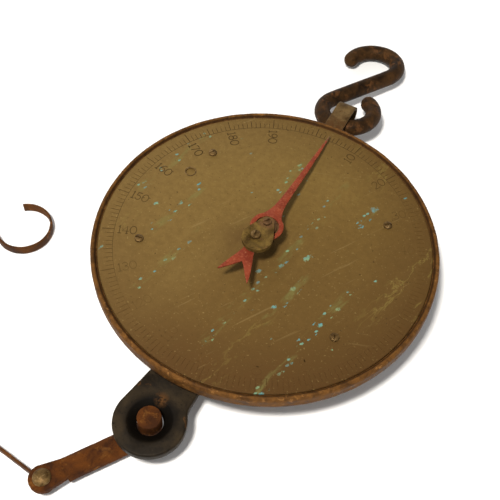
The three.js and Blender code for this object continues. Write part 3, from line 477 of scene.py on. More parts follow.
BRASS = dial_brass()
FILL = groove_fill()
RED = red_paint()
PLATE_BRASS = rust_metal(
    "plate_brass", (0.044, 0.0245, 0.0058), (0.138, 0.084, 0.0205), (0.115, 0.058, 0.024),
    rough=0.66, scale=2.2, metal=0.2, spots=0.6, patch=(0, 0.4, CLAMP_HIGH, 3.4, 6.0))
# The rim gets a dark line of painted shade just inside its lip, where it meets the dial.
RIM_RUST = rust_metal(
    "rim_rust", (0.058, 0.0245, 0.0060), (0.138, 0.059, 0.0135), (0.24, 0.110, 0.030),
    rough=0.66, scale=3.0, metal=0.25, line=RIM_LIP_R + 0.35)
SHELL_RUST = rust_metal(
    "shell_rust", (0.030, 0.016, 0.007), (0.075, 0.037, 0.013), (0.15, 0.062, 0.018),
    rough=0.75, scale=1.0, metal=0.25)
# The lug's countersunk eye is darkened with painted shade.
FORGED = rust_metal(
    "forged_iron", (0.0112, 0.0080, 0.0048), (0.031, 0.0212, 0.0112), (0.092, 0.040, 0.0115),
    rough=0.62, scale=1.0, metal=0.25, spots=0.66,
    patch=(LINE_X - 0.4, LUG_EYE["y"] + 13.2, LOAD_Z + 2.6, 0.6, 4.8),
    painted_shade=(LINE_X, LUG_EYE["y"] + 1.0, LOAD_Z, 12.0, 16.5))
HOOK_IRON = rust_metal(
    "hook_iron", (0.0125, 0.0060, 0.0019), (0.053, 0.0245, 0.0072), (0.092, 0.038, 0.0115),
    rough=0.6, scale=1.5, metal=0.2, spots=0.52)
STRAP = rust_metal(
    "strap_iron", (0.054, 0.030, 0.0095), (0.148, 0.092, 0.036), (0.078, 0.035, 0.0105),
    rough=0.6, scale=1.9, metal=0.25, spots=0.58,
    patch=(LINE_X + 2.0, 107.0, LOAD_Z + 8.0, 7.0, 19.0))
ORANGE = rust_metal(
    "orange_rust", (0.034, 0.0105, 0.0024), (0.092, 0.029, 0.0055), (0.15, 0.058, 0.011),
    rough=0.85, scale=1.6, metal=0.1)
STRIP_RUST = rust_metal(
    "strip_rust", (0.034, 0.0125, 0.0042), (0.100, 0.037, 0.0095), (0.22, 0.082, 0.018),
    rough=0.65, scale=1.3, metal=0.2)
SCREW_IRON = rust_metal(
    "screw_iron", (0.050, 0.027, 0.0080), (0.160, 0.096, 0.034), (0.25, 0.165, 0.075),
    rough=0.46, scale=2.8, metal=0.4)
BOSS_IRON = rust_metal(
    "boss_iron", (0.050, 0.0250, 0.0090), (0.150, 0.077, 0.0320), (0.06, 0.028, 0.010),
    rough=0.62, scale=2.4, metal=0.25)
STEEL = rust_metal(
    "dull_steel", (0.09, 0.08, 0.068), (0.19, 0.17, 0.145), (0.13, 0.075, 0.04),
    rough=0.45, scale=1.2, metal=0.8)


# ---- mesh helpers ----
def new_object(name, vertices, faces, *materials):
    mesh = bpy.data.meshes.new(name)
    mesh.from_pydata([Vector(v) * MM for v in vertices], [], faces)
    for material in materials:
        mesh.materials.append(material)
    piece = bpy.data.objects.new(name, mesh)
    link(piece)
    return piece


def tidy_normals(piece):
    bm = bmesh.new()
    bm.from_mesh(piece.data)
    bmesh.ops.remove_doubles(bm, verts=bm.verts, dist=1e-7)
    bmesh.ops.recalc_face_normals(bm, faces=bm.faces)
    bm.to_mesh(piece.data)
    bm.free()


def smooth(piece, limit=35):
    piece.data.shade_smooth()
    piece.data.set_sharp_from_angle(angle=radians(limit))


def apply_modifiers(piece):
    depsgraph = bpy.context.evaluated_depsgraph_get()
    mesh = bpy.data.meshes.new_from_object(piece.evaluated_get(depsgraph))
    piece.modifiers.clear()
    piece.data = mesh


def bevel(piece, width, segments=3, angle=30):
    modifier = piece.modifiers.new("bevel", "BEVEL")
    modifier.width = width * MM
    modifier.segments = segments
    modifier.limit_method = "ANGLE"
    modifier.angle_limit = radians(angle)
    apply_modifiers(piece)


def carve(piece, *cutters):
    for cutter in cutters:
        modifier = piece.modifiers.new("carve", "BOOLEAN")
        modifier.operation = "DIFFERENCE"
        modifier.solver = "EXACT"
        modifier.object = cutter
        apply_modifiers(piece)
        bpy.data.objects.remove(cutter)


def shift(piece, x, y, z=0.0):
    piece.data.transform(Matrix.Translation((x * MM, y * MM, z * MM)))


def turned(name, profile, sides, *materials, closed=True):
    """A profile of (radius, height) points turned about Z. Points on the axis share a vertex."""
    vertices, rings = [], []
    for r, z in profile:
        if r < 1e-6:
            rings.append([len(vertices)] * sides)
            vertices.append((0, 0, z))
        else:
            rings.append(list(range(len(vertices), len(vertices) + sides)))
            angles = [2 * pi * i / sides for i in range(sides)]
            vertices += [(r * cos(a), r * sin(a), z) for a in angles]
    faces = []
    pairs = zip(rings, rings[1:] + rings[:1]) if closed else zip(rings, rings[1:])
    for low, high in pairs:
        for i in range(sides):
            j = (i + 1) % sides
            loop = [low[i], low[j], high[j], high[i]]
            loop = [v for k, v in enumerate(loop) if v != loop[k - 1]]
            if len(loop) > 2:
                faces.append(loop)
    piece = new_object(name, vertices, faces, *materials)
    tidy_normals(piece)
    return piece


def cylinder(name, x, y, radius, low, high, sides=48):
    piece = turned(name, [(0, low), (radius, low), (radius, high), (0, high)], sides, closed=False)
    shift(piece, x, y)
    return piece


def block(name, low, high):
    (x0, y0, z0), (x1, y1, z1) = low, high
    corners = [(x, y, z) for x in (x0, x1) for y in (y0, y1) for z in (z0, z1)]
    faces = [(0, 1, 3, 2), (4, 6, 7, 5), (0, 4, 5, 1), (2, 3, 7, 6), (0, 2, 6, 4), (1, 5, 7, 3)]
    piece = new_object(name, corners, faces)
    tidy_normals(piece)
    return piece


def sheet_metal(name, outline, low, high, *materials):
    """A flat outline given thickness, with one face on each side."""
    n = len(outline)
    vertices = [(x, y, low) for x, y in outline] + [(x, y, high) for x, y in outline]
    faces = [list(range(n))[::-1], list(range(n, 2 * n))]
    faces += [(i, (i + 1) % n, n + (i + 1) % n, n + i) for i in range(n)]
    piece = new_object(name, vertices, faces, *materials)
    tidy_normals(piece)
    return piece


def four_sided(name, rows, material):
    """A bar with four long rows of vertices, closed at both ends."""
    n = len(rows[0])
    vertices = [vertex for row in rows for vertex in row]
    faces = [(k * n + i, k * n + i + 1, (k + 1) % 4 * n + i + 1, (k + 1) % 4 * n + i)
             for k in range(4) for i in range(n - 1)]
    faces += [(0, n, 2 * n, 3 * n), (n - 1, 4 * n - 1, 3 * n - 1, 2 * n - 1)]
    piece = new_object(name, vertices, faces, material)
    tidy_normals(piece)
    return piece


def arc(cx, cy, radius, start, end, count):
    angles = [radians(start + (end - start) * i / count) for i in range(count + 1)]
    return [(cx + radius * cos(a), cy + radius * sin(a)) for a in angles]


def resampled(points, step):
    """Points an even step apart along a route, with its last point kept."""
    out = [Vector(points[0])]
    carried = 0.0
    for a, b in zip(points, points[1:]):
        a, b = Vector(a), Vector(b)
        length = (b - a).length
        at = step - carried
        while at <= length:
            out.append(a.lerp(b, at / length))
            at += step
        carried = (carried + length) % step
    if (out[-1] - Vector(points[-1])).length > step * 0.3:
        out.append(Vector(points[-1]))
    return out


def bar_along(name, points, radius, sides, material, domed=True, wobble=0.0):
    """A round bar along a route. A domed end's crown lies on the route's end point."""
    route = [Vector(p) for p in points]
    last = len(route) - 1
    tangents = [(route[min(i + 1, last)] - route[max(i - 1, 0)]).normalized() for i in range(last + 1)]
    stations = [(p, t, radius) for p, t in zip(route, tangents)]
    # Each dome takes the place of the stations within a radius of its end.
    if domed:
        crown = [(sin(radians(a)), 1 - cos(radians(a))) for a in (10, 28, 46, 64, 80)]
        body = [s for s in stations if min((s[0] - route[k]).length for k in (0, -1)) > radius]
        start = [(route[0] + tangents[0] * radius * back, tangents[0], radius * s) for s, back in crown]
        end = [(route[-1] - tangents[-1] * radius * back, tangents[-1], radius * s) for s, back in crown]
        stations = start + body + end[::-1]
    side = stations[0][1].orthogonal().normalized()
    vertices = []
    for point, tangent, r in stations:
        side = (side - tangent * side.dot(tangent)).normalized()
        up = tangent.cross(side)
        for i in range(sides):
            a = 2 * pi * i / sides
            out = side * cos(a) + up * sin(a)
            spot = point + out * r
            dent = wobble * (noise.noise(spot * 0.09) * 0.7 + noise.noise(spot * 0.3) * 0.4 - 0.75)
            vertices.append(spot + out * dent)
    faces = []
    for low in range(0, len(vertices) - sides, sides):
        high = low + sides
        for i, j in zip(range(sides), [*range(1, sides), 0]):
            faces.append((low + i, low + j, high + j, high + i))
    faces += [list(range(sides))[::-1], list(range(len(vertices) - sides, len(vertices)))]
    piece = new_object(name, vertices, faces, material)
    tidy_normals(piece)
    smooth(piece, 60)
    return piece


def roughen(piece, amount, scale):
    """Uneven, hand-worked metal: each vertex moves in a little along its normal."""
    normals = [v.normal.copy() for v in piece.data.vertices]
    for v, normal in zip(piece.data.vertices, normals):
        v.co -= normal * ((0.5 + 0.5 * noise.noise(v.co / MM * scale)) * amount * MM)


def place(piece, body, slot, *nodes):
    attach(piece, body)
    if nodes:
        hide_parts(*nodes)


def clock(radius, clockwise):
    turn = radians(clockwise)
    return radius * sin(turn), radius * cos(turn)


def centre_of(node):
    low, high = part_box(node)
    return (low + high) / 2 / MM


# ---- dial ----
def tick_kind(division):
    if division % 10 == 0:
        return "long"
    return "middle" if division % 5 == 0 else "short"


def dial_columns():
    """Angles round the dial. Each division has two inside its groove and one on each side."""
    columns = []
    for division in range(DIVISIONS):
        kind = tick_kind(division)
        centre = radians(90 + GRADUATION_ZERO) - 2 * pi * division / DIVISIONS
        half = TICK_WIDTH[kind] / 2 / TICK_END["short"]
        flank = half + GROOVE_FLANK / TICK_END["short"]
        columns += [(centre + flank, None), (centre + half, kind)]
        columns += [(centre - half, kind), (centre - flank, None)]
    return columns


def make_dial():
    columns = dial_columns()
    total = len(columns)
    ring_low, ring_high = INNER_RING_R - INNER_RING_HALF, INNER_RING_R + INNER_RING_HALF
    radii = [DIAL_HOLE_R, 12.0, 24.0, 38.0, 52.0, 66.0, 80.0, INNER_RING_R - 1.0, ring_low, ring_high,
             *TICK_END.values(), DIAL_R - 0.5, DIAL_R]
    rings = len(radii)
    vertices, faces, marks = [], [], []
    for angle, kind in columns:
        for r in radii:
            in_groove = kind and INNER_RING_R < r <= TICK_END[kind]
            depth = GROOVE_DEPTH if in_groove else DIAL_EDGE_DROP if r == DIAL_R else 0.0
            vertices.append((r * cos(angle), r * sin(angle), DIAL_TOP - depth))
    for c, (_, kind) in enumerate(columns):
        n = (c + 1) % total
        for k in range(rings - 1):
            faces.append((c * rings + k, n * rings + k, n * rings + k + 1, c * rings + k + 1))
            on_ring = radii[k] == ring_low
            on_tick = kind and columns[n][1] and INNER_RING_R < radii[k] and radii[k + 1] <= TICK_END[kind]
            marks.append(1 if on_ring or on_tick else 0)
    # The back and the two edges close the plate.
    base = len(vertices)
    for r in (DIAL_HOLE_R, DIAL_R):
        vertices += [(r * cos(a), r * sin(a), DIAL_TOP - DIAL_THICK) for a, _ in columns]
    for c in range(total):
        n = (c + 1) % total
        faces.append((base + c, base + n, base + total + n, base + total + c))
        faces.append((base + c, base + n, n * rings, c * rings))
        faces.append((base + total + c, base + total + n, n * rings + rings - 1, c * rings + rings - 1))
    marks += [0] * (3 * total)
    dial = new_object("dial", vertices, faces, BRASS, FILL)
    dial.data.polygons.foreach_set("material_index", marks)
    tidy_normals(dial)
    under, over = DIAL_TOP - 4, DIAL_TOP + 4
    cutters = []
    for i in range(1, 5):
        at = centre_of(f"dial_screw_{i}")
        cutters.append(cylinder(f"cut_{i}", at.x, at.y, DIAL_SCREW["hole"], under, over, 32))
    spare_x, spare_y = clock(SPARE_HOLE["from_centre"], SPARE_HOLE["clockwise"])
    spare_floor = DIAL_TOP - SPARE_HOLE["deep"]
    cutters.append(cylinder("cut_spare", spare_x, spare_y, SPARE_HOLE["r"], spare_floor, over))
    carve(dial, *cutters)
    smooth(dial, 20)
    place(dial, "case", "aged_brass", "dial_plate")
    inner, foot = SPARE_HOLE["r"] + 0.02, DIAL_TOP + 0.01
    burr_profile = [(inner, foot), (inner + 0.8, foot), (inner + 0.3, DIAL_TOP + 0.16)]
    burr = turned("spare_hole_burr", burr_profile, 48, SCREW_IRON)
    shift(burr, spare_x, spare_y)
    smooth(burr, 60)
    place(burr, "case", "aged_brass")


def ellipse(cx, cy, rx, ry, start, end, count=14):
    return [(cx + rx * x, cy + ry * y) for x, y in arc(0, 0, 1, start, end, count)]


# Old-style engraved figures: each has its width and its strokes, in a box one unit high.
FIGURES = {
    "0": (0.86, [ellipse(0.43, 0.5, 0.36, 0.5, 0, 360, 28)]),
    "1": (0.56, [[(0.16, 0.84), (0.3, 1.0), (0.3, 0.0)], [(0.1, 0.0), (0.5, 0.0)]]),
    "2": (0.78, [ellipse(0.38, 0.72, 0.29, 0.28, 165, -35) + [(0.08, 0.02)],
                 [(0.06, 0.0), (0.7, 0.0), (0.74, 0.14)]]),
    "3": (0.74, [ellipse(0.33, 0.76, 0.27, 0.24, 155, -90), ellipse(0.33, 0.27, 0.31, 0.27, 90, -155)]),
    "4": (0.82, [[(0.56, 0.0), (0.56, 1.0), (0.04, 0.3), (0.76, 0.3)], [(0.42, 0.0), (0.7, 0.0)]]),
    "5": (0.76, [[(0.66, 1.0), (0.18, 1.0), (0.14, 0.55)] + ellipse(0.34, 0.31, 0.31, 0.31, 110, -150)]),
    "6": (0.78, [ellipse(0.4, 0.31, 0.3, 0.31, 0, 360, 24), ellipse(0.56, 0.36, 0.47, 0.64, 80, 185)]),
    "7": (0.72, [[(0.06, 0.86), (0.08, 1.0), (0.66, 1.0), (0.26, 0.0)]]),
    "8": (0.78, [ellipse(0.38, 0.76, 0.25, 0.24, 0, 360, 22), ellipse(0.38, 0.27, 0.31, 0.27, 0, 360, 24)]),
    "9": (0.78, [ellipse(0.38, 0.69, 0.3, 0.31, 0, 360, 24), ellipse(0.22, 0.64, 0.47, 0.64, -100, 5)]),
}


def stroke_faces(line, width, vertices, faces):
    """A ribbon along a stroke, mitred at its corners."""
    points = [Vector(p) for p in line]
    last = len(points) - 1
    for i, point in enumerate(points):
        tangent = points[min(i + 1, last)] - points[max(i - 1, 0)]
        side = Vector((-tangent.y, tangent.x)).normalized() * width / 2
        if i < last:
            k = len(vertices)
            faces.append((k, k + 1, k + 3, k + 2))
        vertices += [point + side, point - side]


def make_numbers():
    """The right half's numbers read outwards, the left half's inwards and the lowest across."""
    half = DIVISIONS // 2
    for value in range(10, DIVISIONS, 10):
        vertices, faces, reach = [], [], 0.0
        for figure in str(value):
            width, lines = FIGURES[figure]
            for line in lines:
                placed = [((reach + x) * NUMBER_HEIGHT, (y - 0.5) * NUMBER_HEIGHT) for x, y in line]
                stroke_faces(placed, NUMBER_STROKE, vertices, faces)
            reach += width
        length = reach * NUMBER_HEIGHT
        angle = radians(90 + GRADUATION_ZERO - 360 * value / DIVISIONS)
        if value == half:
            turn, offset, radius = angle + pi / 2, -length / 2, NUMBER_OUTER_R - NUMBER_HEIGHT / 2
        elif value > half:
            turn, offset, radius = angle + pi, 0.0, NUMBER_OUTER_R
        else:
            turn, offset, radius = angle, -length, NUMBER_OUTER_R
        piece = new_object(f"dial_number_{value}", [(x + offset, y, 0) for x, y in vertices], faces, FILL)
        piece.data.transform(Matrix.Rotation(turn, 4, "Z"))
        shift(piece, radius * cos(angle), radius * sin(angle), DIAL_TOP + NUMBER_LIFT)
        place(piece, "case", "aged_brass")


# ---- rim and shell ----
def make_rim():
    inner, outer = RIM_LIP_R, RIM_R - 0.03
    middle, reach = (inner + outer) / 2, (outer - inner) / 2
    bead_low, bead_rise = RIM_TOP - 3.0, 2.95
    bead = [(middle + reach * cos(a), bead_low + bead_rise * sin(a))
            for a in map(radians, range(0, 181, 15))]
    skirt = [(RIM_SKIRT_R, RIM_BOTTOM + 0.3), (RIM_SKIRT_R + 0.4, RIM_BOTTOM), (outer - 0.15, RIM_BOTTOM),
             (outer, RIM_BOTTOM + 0.15), (outer - 0.1, RIM_BOTTOM + 2), (outer - 0.15, RIM_BOTTOM + 4)]
    # Rust has built up inside the lip, nearly to the dial's edge.
    rust_r = DIAL_R + 0.2
    ledge = [(inner - 0.1, RUST_LEDGE_TOP + 0.15), (rust_r, RUST_LEDGE_TOP), (rust_r, RUST_LEDGE_TOP - 0.8)]
    profile = skirt + bead[:-2] + ledge + [(inner, RIM_LIP_BOTTOM), (RIM_SKIRT_R, RIM_LIP_BOTTOM)]
    rim = turned("rim_ring", profile, 480, RIM_RUST)
    roughen(rim, 0.2, 0.16)
    smooth(rim, 50)
    place(rim, "case", "rusty_iron", "rim")


def make_shell():
    inner, inner_base = SHELL_R - SHELL_WALL, SHELL_BASE_R - SHELL_WALL
    slope = [(SHELL_BASE_R + (SHELL_R - SHELL_BASE_R) * t, SHELL_FOOT + (SHELL_SHOULDER - SHELL_FOOT) * t)
             for t in (0, 0.2, 0.4, 0.6, 0.8, 0.96)]
    profile = [(0, 0), (45, 0), (SHELL_BASE_R - 2.4, 0), (SHELL_BASE_R - 1.2, 0.35)] + slope
    profile += [(SHELL_R - 0.06, SHELL_SHOULDER + 0.8), (SHELL_R, SHELL_SHOULDER + 1.6), (SHELL_R, SHELL_TOP),
                (inner, SHELL_TOP), (inner, SHELL_SHOULDER + 0.3), (inner_base, SHELL_WALL + 0.6),
                (inner_base - 1, SHELL_WALL), (0, SHELL_WALL)]
    shell = turned("case_shell", profile, 240, SHELL_RUST, closed=False)
    strap_half = STRAP_WIDTH / 2 + SLOT_CLEARANCE
    strap_low = LOAD_Z - STRAP_LEG_INNER - STRAP_THICK - SLOT_CLEARANCE
    lug_half, lug_depth = LUG_NECK_HALF + SLOT_CLEARANCE, LUG_HALF_THICK + SLOT_CLEARANCE
    strap_notch = block("strap_notch", (LINE_X - strap_half, 80, strap_low),
                        (LINE_X + strap_half, 110, SHELL_TOP + 1))
    lug_slot = block("lug_slot", (LINE_X - lug_half, -110, LOAD_Z - lug_depth),
                     (LINE_X + lug_half, -80, LOAD_Z + lug_depth))
    carve(shell, strap_notch, lug_slot)
    smooth(shell, 30)
    place(shell, "case", "rusty_iron", "back_shell")


# ---- screws ----
def slotted_head(name, at, screw, low, slot_turn, material):
    """A domed screw head whose underside is at low."""
    radius, height, slot = screw["head"], screw["height"], screw["slot"]
    shoulder = height * 0.55
    dome = [(radius * cos(a), low + shoulder + (height - shoulder) * sin(a))
            for a in map(radians, range(0, 90, 12))]
    profile = [(0, low), (radius - 0.1, low), (radius, low + 0.15)] + dome + [(0, low + height)]
    head = turned(name, profile, 48, material, closed=False)
    cutter = block(name + "_slot", (-radius * 1.3, -radius * slot, low + height * 0.45),
                   (radius * 1.3, radius * slot, low + height + 2))
    cutter.data.transform(Matrix.Rotation(slot_turn, 4, "Z"))
    carve(head, cutter)
    bevel(head, 0.09, 2, 40)
    smooth(head, 40)
    shift(head, at[0], at[1])
    return head


def make_dial_screws():
    for i, turn in enumerate(DIAL_SCREW_TURNS, 1):
        node = f"dial_screw_{i}"
        at = centre_of(node)
        head = slotted_head(f"dial_screw_head_{i}", at, DIAL_SCREW, DIAL_TOP + 0.05, turn, SCREW_IRON)
        place(head, "case", "steel", node)


# ---- pointer and hub ----
def make_pointer():
    """The outline runs up the blade's right side, down its left, and round the ring and the tail."""
    ring_r = POINTER_OUTER_R - 0.05
    blade_right = [(5.9, 8.0), (4.7, 10.4), (3.7, 13.4), (3.0, 17.0), (2.6, 22), (2.3, 32), (2.0, 45),
                   (1.75, 58), (1.4, 70), (0.95, 82), (0.4, 92.4), (0.15, 93.2)]
    blade_left = [(-0.1, 93.2), (-0.3, 92.4), (-0.7, 82), (-1.0, 70), (-1.4, 58), (-1.8, 45), (-2.2, 32),
                  (-2.7, 21), (-3.3, 16), (-4.2, 12.4), (-5.4, 9.2)]
    tail = [(-5.2, -8.6), (-4.7, -14), (-4.6, -18), (-5.2, -21.6), (-6.6, -25.6), (-8.4, -30.4),
            (-10.2, -35.6), (-11.4, -39.5), (-10.9, -39.4), (-8.6, -37.0), (-6.1, -34.4), (-3.6, -31.4),
            (-1.3, -28.7), (0.6, -30.8), (2.7, -33.6), (5.4, -37.4), (7.9, -40.6), (8.2, -40.5),
            (7.9, -38.2), (6.9, -34.2), (5.4, -29.6), (3.8, -25.2), (2.4, -21.4), (1.8, -18.2),
            (1.9, -13.6), (2.5, -9.7)]
    outline = blade_right + blade_left + arc(0, 0, ring_r, 124, 238, 24)[1:-1] + tail
    outline += arc(0, 0, ring_r, -72, 50, 24)[1:-1]
    pointer = sheet_metal("red_pointer", outline, POINTER_LOW, POINTER_HIGH, RED)
    carve(pointer, cylinder("pointer_eye", 0, 0, POINTER_INNER_R, POINTER_LOW - 2, POINTER_HIGH + 2, 72))
    bevel(pointer, 0.2, 2, 50)
    bm = bmesh.new()
    bm.from_mesh(pointer.data)
    for y in (-30, -20, BLADE_ROOT_Y, 14, 20, 30, 40, 50, 60, 70, 80, 88):
        everything = bm.verts[:] + bm.edges[:] + bm.faces[:]
        bmesh.ops.bisect_plane(bm, geom=everything, plane_co=(0, y * MM, 0), plane_no=(0, 1, 0))
    bmesh.ops.triangulate(bm, faces=[f for f in bm.faces if len(f.verts) > 4])
    # The blade falls towards the dial, with the slight waves of an old sheet.
    for v in bm.verts:
        run = max(0.0, v.co.y / MM - BLADE_ROOT_Y)
        wave = min(run, 12) / 12 * 0.12 * sin(run / 9.0)
        v.co.z += (wave - BLADE_DROP * run) * MM
    bm.to_mesh(pointer.data)
    bm.free()
    smooth(pointer, 35)
    place(pointer, "pointer_set", "red_paint", "pointer")


def make_boss():
    seat = POINTER_LOW - 0.3
    collar_low = seat - 2
    bore, sleeve, collar, foot = BOSS_BORE_R, BOSS_SLEEVE_R, BOSS_COLLAR_R, BOSS_FOOT
    boss = turned("boss", [
        (bore, foot), (sleeve - 0.1, foot), (sleeve, foot + 0.2), (sleeve, collar_low),
        (collar - 0.2, collar_low), (collar, collar_low + 0.2), (collar, seat - 0.2), (collar - 0.2, seat),
        (BOSS_R, seat), (BOSS_R, BOSS_TOP - 1.1), (BOSS_R - 0.15, BOSS_TOP - 0.6),
        (BOSS_R - 0.5, BOSS_TOP - 0.2), (BOSS_R - 1.1, BOSS_TOP), (bore, BOSS_TOP),
    ], 72, BOSS_IRON)
    smooth(boss, 35)
    place(boss, "pointer_set", "aged_brass", "pointer_boss")


def make_clamp():
    """The pear-shaped plate with its dished recess, and the two screws that it carries."""
    sx, sy, sr = CLAMP_SMALL
    lx, ly, lr = CLAMP_LARGE
    lean = degrees(atan2(ly - sy, lx - sx))
    spread = degrees(acos((lr - sr) / hypot(lx - sx, ly - sy)))
    outline = arc(lx, ly, lr, lean - 180 + spread, lean + 180 - spread, 56)
    outline += arc(sx, sy, sr, lean + 180 - spread, lean + 180 + spread, 28)[1:-1]
    plate = sheet_metal("clamp", outline, CLAMP_LOW, CLAMP_HIGH, PLATE_BRASS)
    floor, brim = CLAMP_HIGH - CLAMP_RECESS_DEPTH, CLAMP_HIGH + 0.4
    dish = [(0, floor), (3.15, floor), (4.4, floor + 0.9), (6.3, CLAMP_HIGH - 0.12), (7.0, brim), (0, brim)]
    recess = turned("recess", dish, 56, closed=False)
    shift(recess, lx + 0.1, ly + 0.5)
    under, over = CLAMP_LOW - 1, CLAMP_HIGH + 1
    carve(plate, recess, cylinder("seat", *CLAMP_SCREW_AT, 3.3, floor, CLAMP_HIGH + 2),
          cylinder("clamp_hole", *CLAMP_SCREW_AT, CLAMP_SCREW["hole"], under, over, 32),
          cylinder("spindle_hole", sx, sy, SPINDLE_SCREW["hole"], under, over, 32))
    bevel(plate, 0.75, 4, 40)
    roughen(plate, 0.18, 0.7)
    smooth(plate, 40)
    place(plate, "pointer_set", "aged_brass", "clamp_plate")
    big = slotted_head("clamp_screw_head", CLAMP_SCREW_AT, CLAMP_SCREW, floor + 0.3, CLAMP_SCREW_TURN,
                       SCREW_IRON)
    place(big, "pointer_set", "steel", "clamp_screw")
    small = slotted_head("spindle_screw_head", (sx, sy), SPINDLE_SCREW, CLAMP_HIGH + 0.1, SPINDLE_SCREW_TURN,
                         BOSS_IRON)
    place(small, "pointer_set", "steel", "spindle_screw")


# ---- hanger strap, lug and hooks ----
def strap_section(leg, bend):
    """One face of the strap, seen from the side: a leg, the bend over the S-hook and the other leg."""
    def half(sign):
        near, far = STRAP_JOGGLE_Y
        return [(STRAP_END_Y, sign * leg), (near, sign * leg), (far, sign * bend)]

    return half(-1) + arc(STRAP_BEND_Y, 0, bend, -90, 90, 28) + half(1)[::-1]


def make_strap():
    outer = strap_section(STRAP_LEG_INNER + STRAP_THICK, STRAP_INNER + STRAP_THICK)
    inner = strap_section(STRAP_LEG_INNER, STRAP_INNER)
    half = STRAP_WIDTH / 2
    edges = [(outer, -half), (outer, half), (inner, half), (inner, -half)]
    rows = [[(LINE_X + w, y, LOAD_Z + z) for y, z in line] for line, w in edges]
    strap = four_sided("strap", rows, STRAP)
    bevel(strap, 0.5, 3, 50)
    smooth(strap, 45)
    place(strap, "case", "strap_iron", "hanger_strap")


def make_draw_bar():
    eye_y, outer = LUG_EYE["y"], LUG_EYE["outer"]
    mouth, throat = LUG_EYE["mouth"], LUG_EYE["throat"]
    fillet_x = LUG_NECK_HALF + LUG_FILLET
    rise = sqrt((outer + LUG_FILLET) ** 2 - fillet_x ** 2)
    fillet_y, lean = eye_y + rise, degrees(atan2(rise, fillet_x))
    shoulder = LUG_SHOULDER
    outline = [(-LUG_NECK_HALF, DRAW_TOP_Y), (-LUG_NECK_HALF, shoulder["top"])]
    outline += [(shoulder["x"], shoulder["y"])]
    outline += arc(0, eye_y, outer, shoulder["meets"], 360 + lean, 80)
    outline += arc(fillet_x, fillet_y, LUG_FILLET, 180 + lean, 180, 12)[1:] + [(LUG_NECK_HALF, DRAW_TOP_Y)]
    low, high = LOAD_Z - LUG_HALF_THICK, LOAD_Z + LUG_HALF_THICK
    under, over = low - 1, high + 1
    bar = sheet_metal("lug", [(LINE_X + x, y) for x, y in outline], low, high, FORGED)
    funnel = [(0, under), (throat + 2.6, under), (throat, low + 1.3), (throat, high - 4), (mouth + 1.2, over),
              (0, over)]
    sink = turned("countersink", funnel, 96, closed=False)
    shift(sink, LINE_X, eye_y)
    bevel(bar, 1.3, 5, 40)
    carve(bar, sink, cylinder("rivet_hole", LINE_X, TIE_RIVET_Y, TIE_RIVET_R, under, over, 24))
    bevel(bar, 0.3, 2, 30)
    smooth(bar, 50)
    place(bar, "draw", "forged_iron", "draw_bar")


def s_hook_route():
    lower = arc(0, 0, S_LOOP_R, S_FREE_END, S_HEADING + 90 - 360, 64)
    heading = radians(S_HEADING)
    along = Vector((cos(heading), sin(heading)))
    end = Vector(lower[-1]) + along * S_SHANK
    centre = end + Vector((-along.y, along.x)) * S_LOOP_R
    upper = arc(centre.x, centre.y, S_LOOP_R, S_HEADING - 90, S_HEADING + S_UPPER_END, 52)
    route = [Vector((*p, 0)) for p in lower + upper]
    # Each end runs on by nearly the bar's radius, which its dome takes up.
    first = route[0] - (route[1] - route[0]).normalized() * S_BAR_R * 0.96
    last = route[-1] + (route[-1] - route[-2]).normalized() * S_BAR_R * 0.96
    return [first] + route + [last]


def make_s_hook():
    hook = bar_along("s_hook_bar", resampled(s_hook_route(), 1.1), S_BAR_R, 48, HOOK_IRON, wobble=0.14)
    lean = Matrix.Rotation(-radians(S_TILT), 4, "X") @ Matrix.Rotation(radians(S_ROLL), 4, "Y")
    height = LOAD_Z - S_LOOP_R * sin(radians(S_TILT))
    hook.data.transform(Matrix.Translation(Vector((LINE_X, S_LOOP_Y, height)) * MM) @ lean)
    place(hook, "top_hook", "forged_iron", "s_hook")


def link_end():
    heading = radians(LINK_HEADING)
    return LINE_X + LINK_LENGTH * cos(heading), LUG_EYE["y"] + LINK_LENGTH * sin(heading)


def make_link():
    heading = radians(LINK_HEADING)
    away = Vector((cos(heading), sin(heading), 0))
    eye = Vector((LINE_X, LUG_EYE["y"], 0))

    def at(distance, z):
        return eye + away * distance + Vector((0, 0, z))

    route = [at(0, LINK_TOP - 0.05), at(0, LINK_Z + LINK_BEND_R + 1)]
    for a in range(0, 91, 6):
        turn = radians(a)
        route.append(at(LINK_BEND_R * (1 - cos(turn)), LINK_Z + LINK_BEND_R * (1 - sin(turn))))
    route.append(at(LINK_LENGTH - 12, LINK_Z))
    bar = bar_along("link_bar", resampled(route, 1.1), LINK_R, 48, ORANGE, False, 0.15)
    bevel(bar, 1.1, 4, 60)
    smooth(bar, 50)
    place(bar, "link", "orange_rust")
    ex, ey = link_end()
    low = STRIP_HIGH + JOINT_GAP
    high = low + TONGUE["thick"]
    outline = [(TONGUE["root"], -TONGUE["half"])] + arc(0, 0, TONGUE["nose"], -90, 90, 32)
    outline += [(TONGUE["root"], TONGUE["half"])]
    tongue = sheet_metal("link_tongue", outline, low, high, ORANGE)
    tongue.data.transform(Matrix.Rotation(heading, 4, "Z"))
    shift(tongue, ex, ey)
    carve(tongue, cylinder("tongue_hole", ex, ey, RIVET["hole"], 0, 30, 32))
    bevel(tongue, 0.8, 3, 40)
    smooth(tongue, 45)
    place(tongue, "link", "orange_rust", "load_link")
    head = high + JOINT_GAP
    dome = [(RIVET["head"] * cos(a), head + RIVET["rise"] * sin(a))
            for a in map(radians, range(15, 90, 15))]
    profile = [(0, STRIP_LOW), (RIVET["shank"], STRIP_LOW), (RIVET["shank"], head), (RIVET["head"], head)]
    rivet = turned("link_rivet", profile + dome + [(0, head + RIVET["rise"])], 40, SCREW_IRON, closed=False)
    shift(rivet, ex, ey)
    smooth(rivet, 40)
    place(rivet, "link", "steel", "hook_rivet")


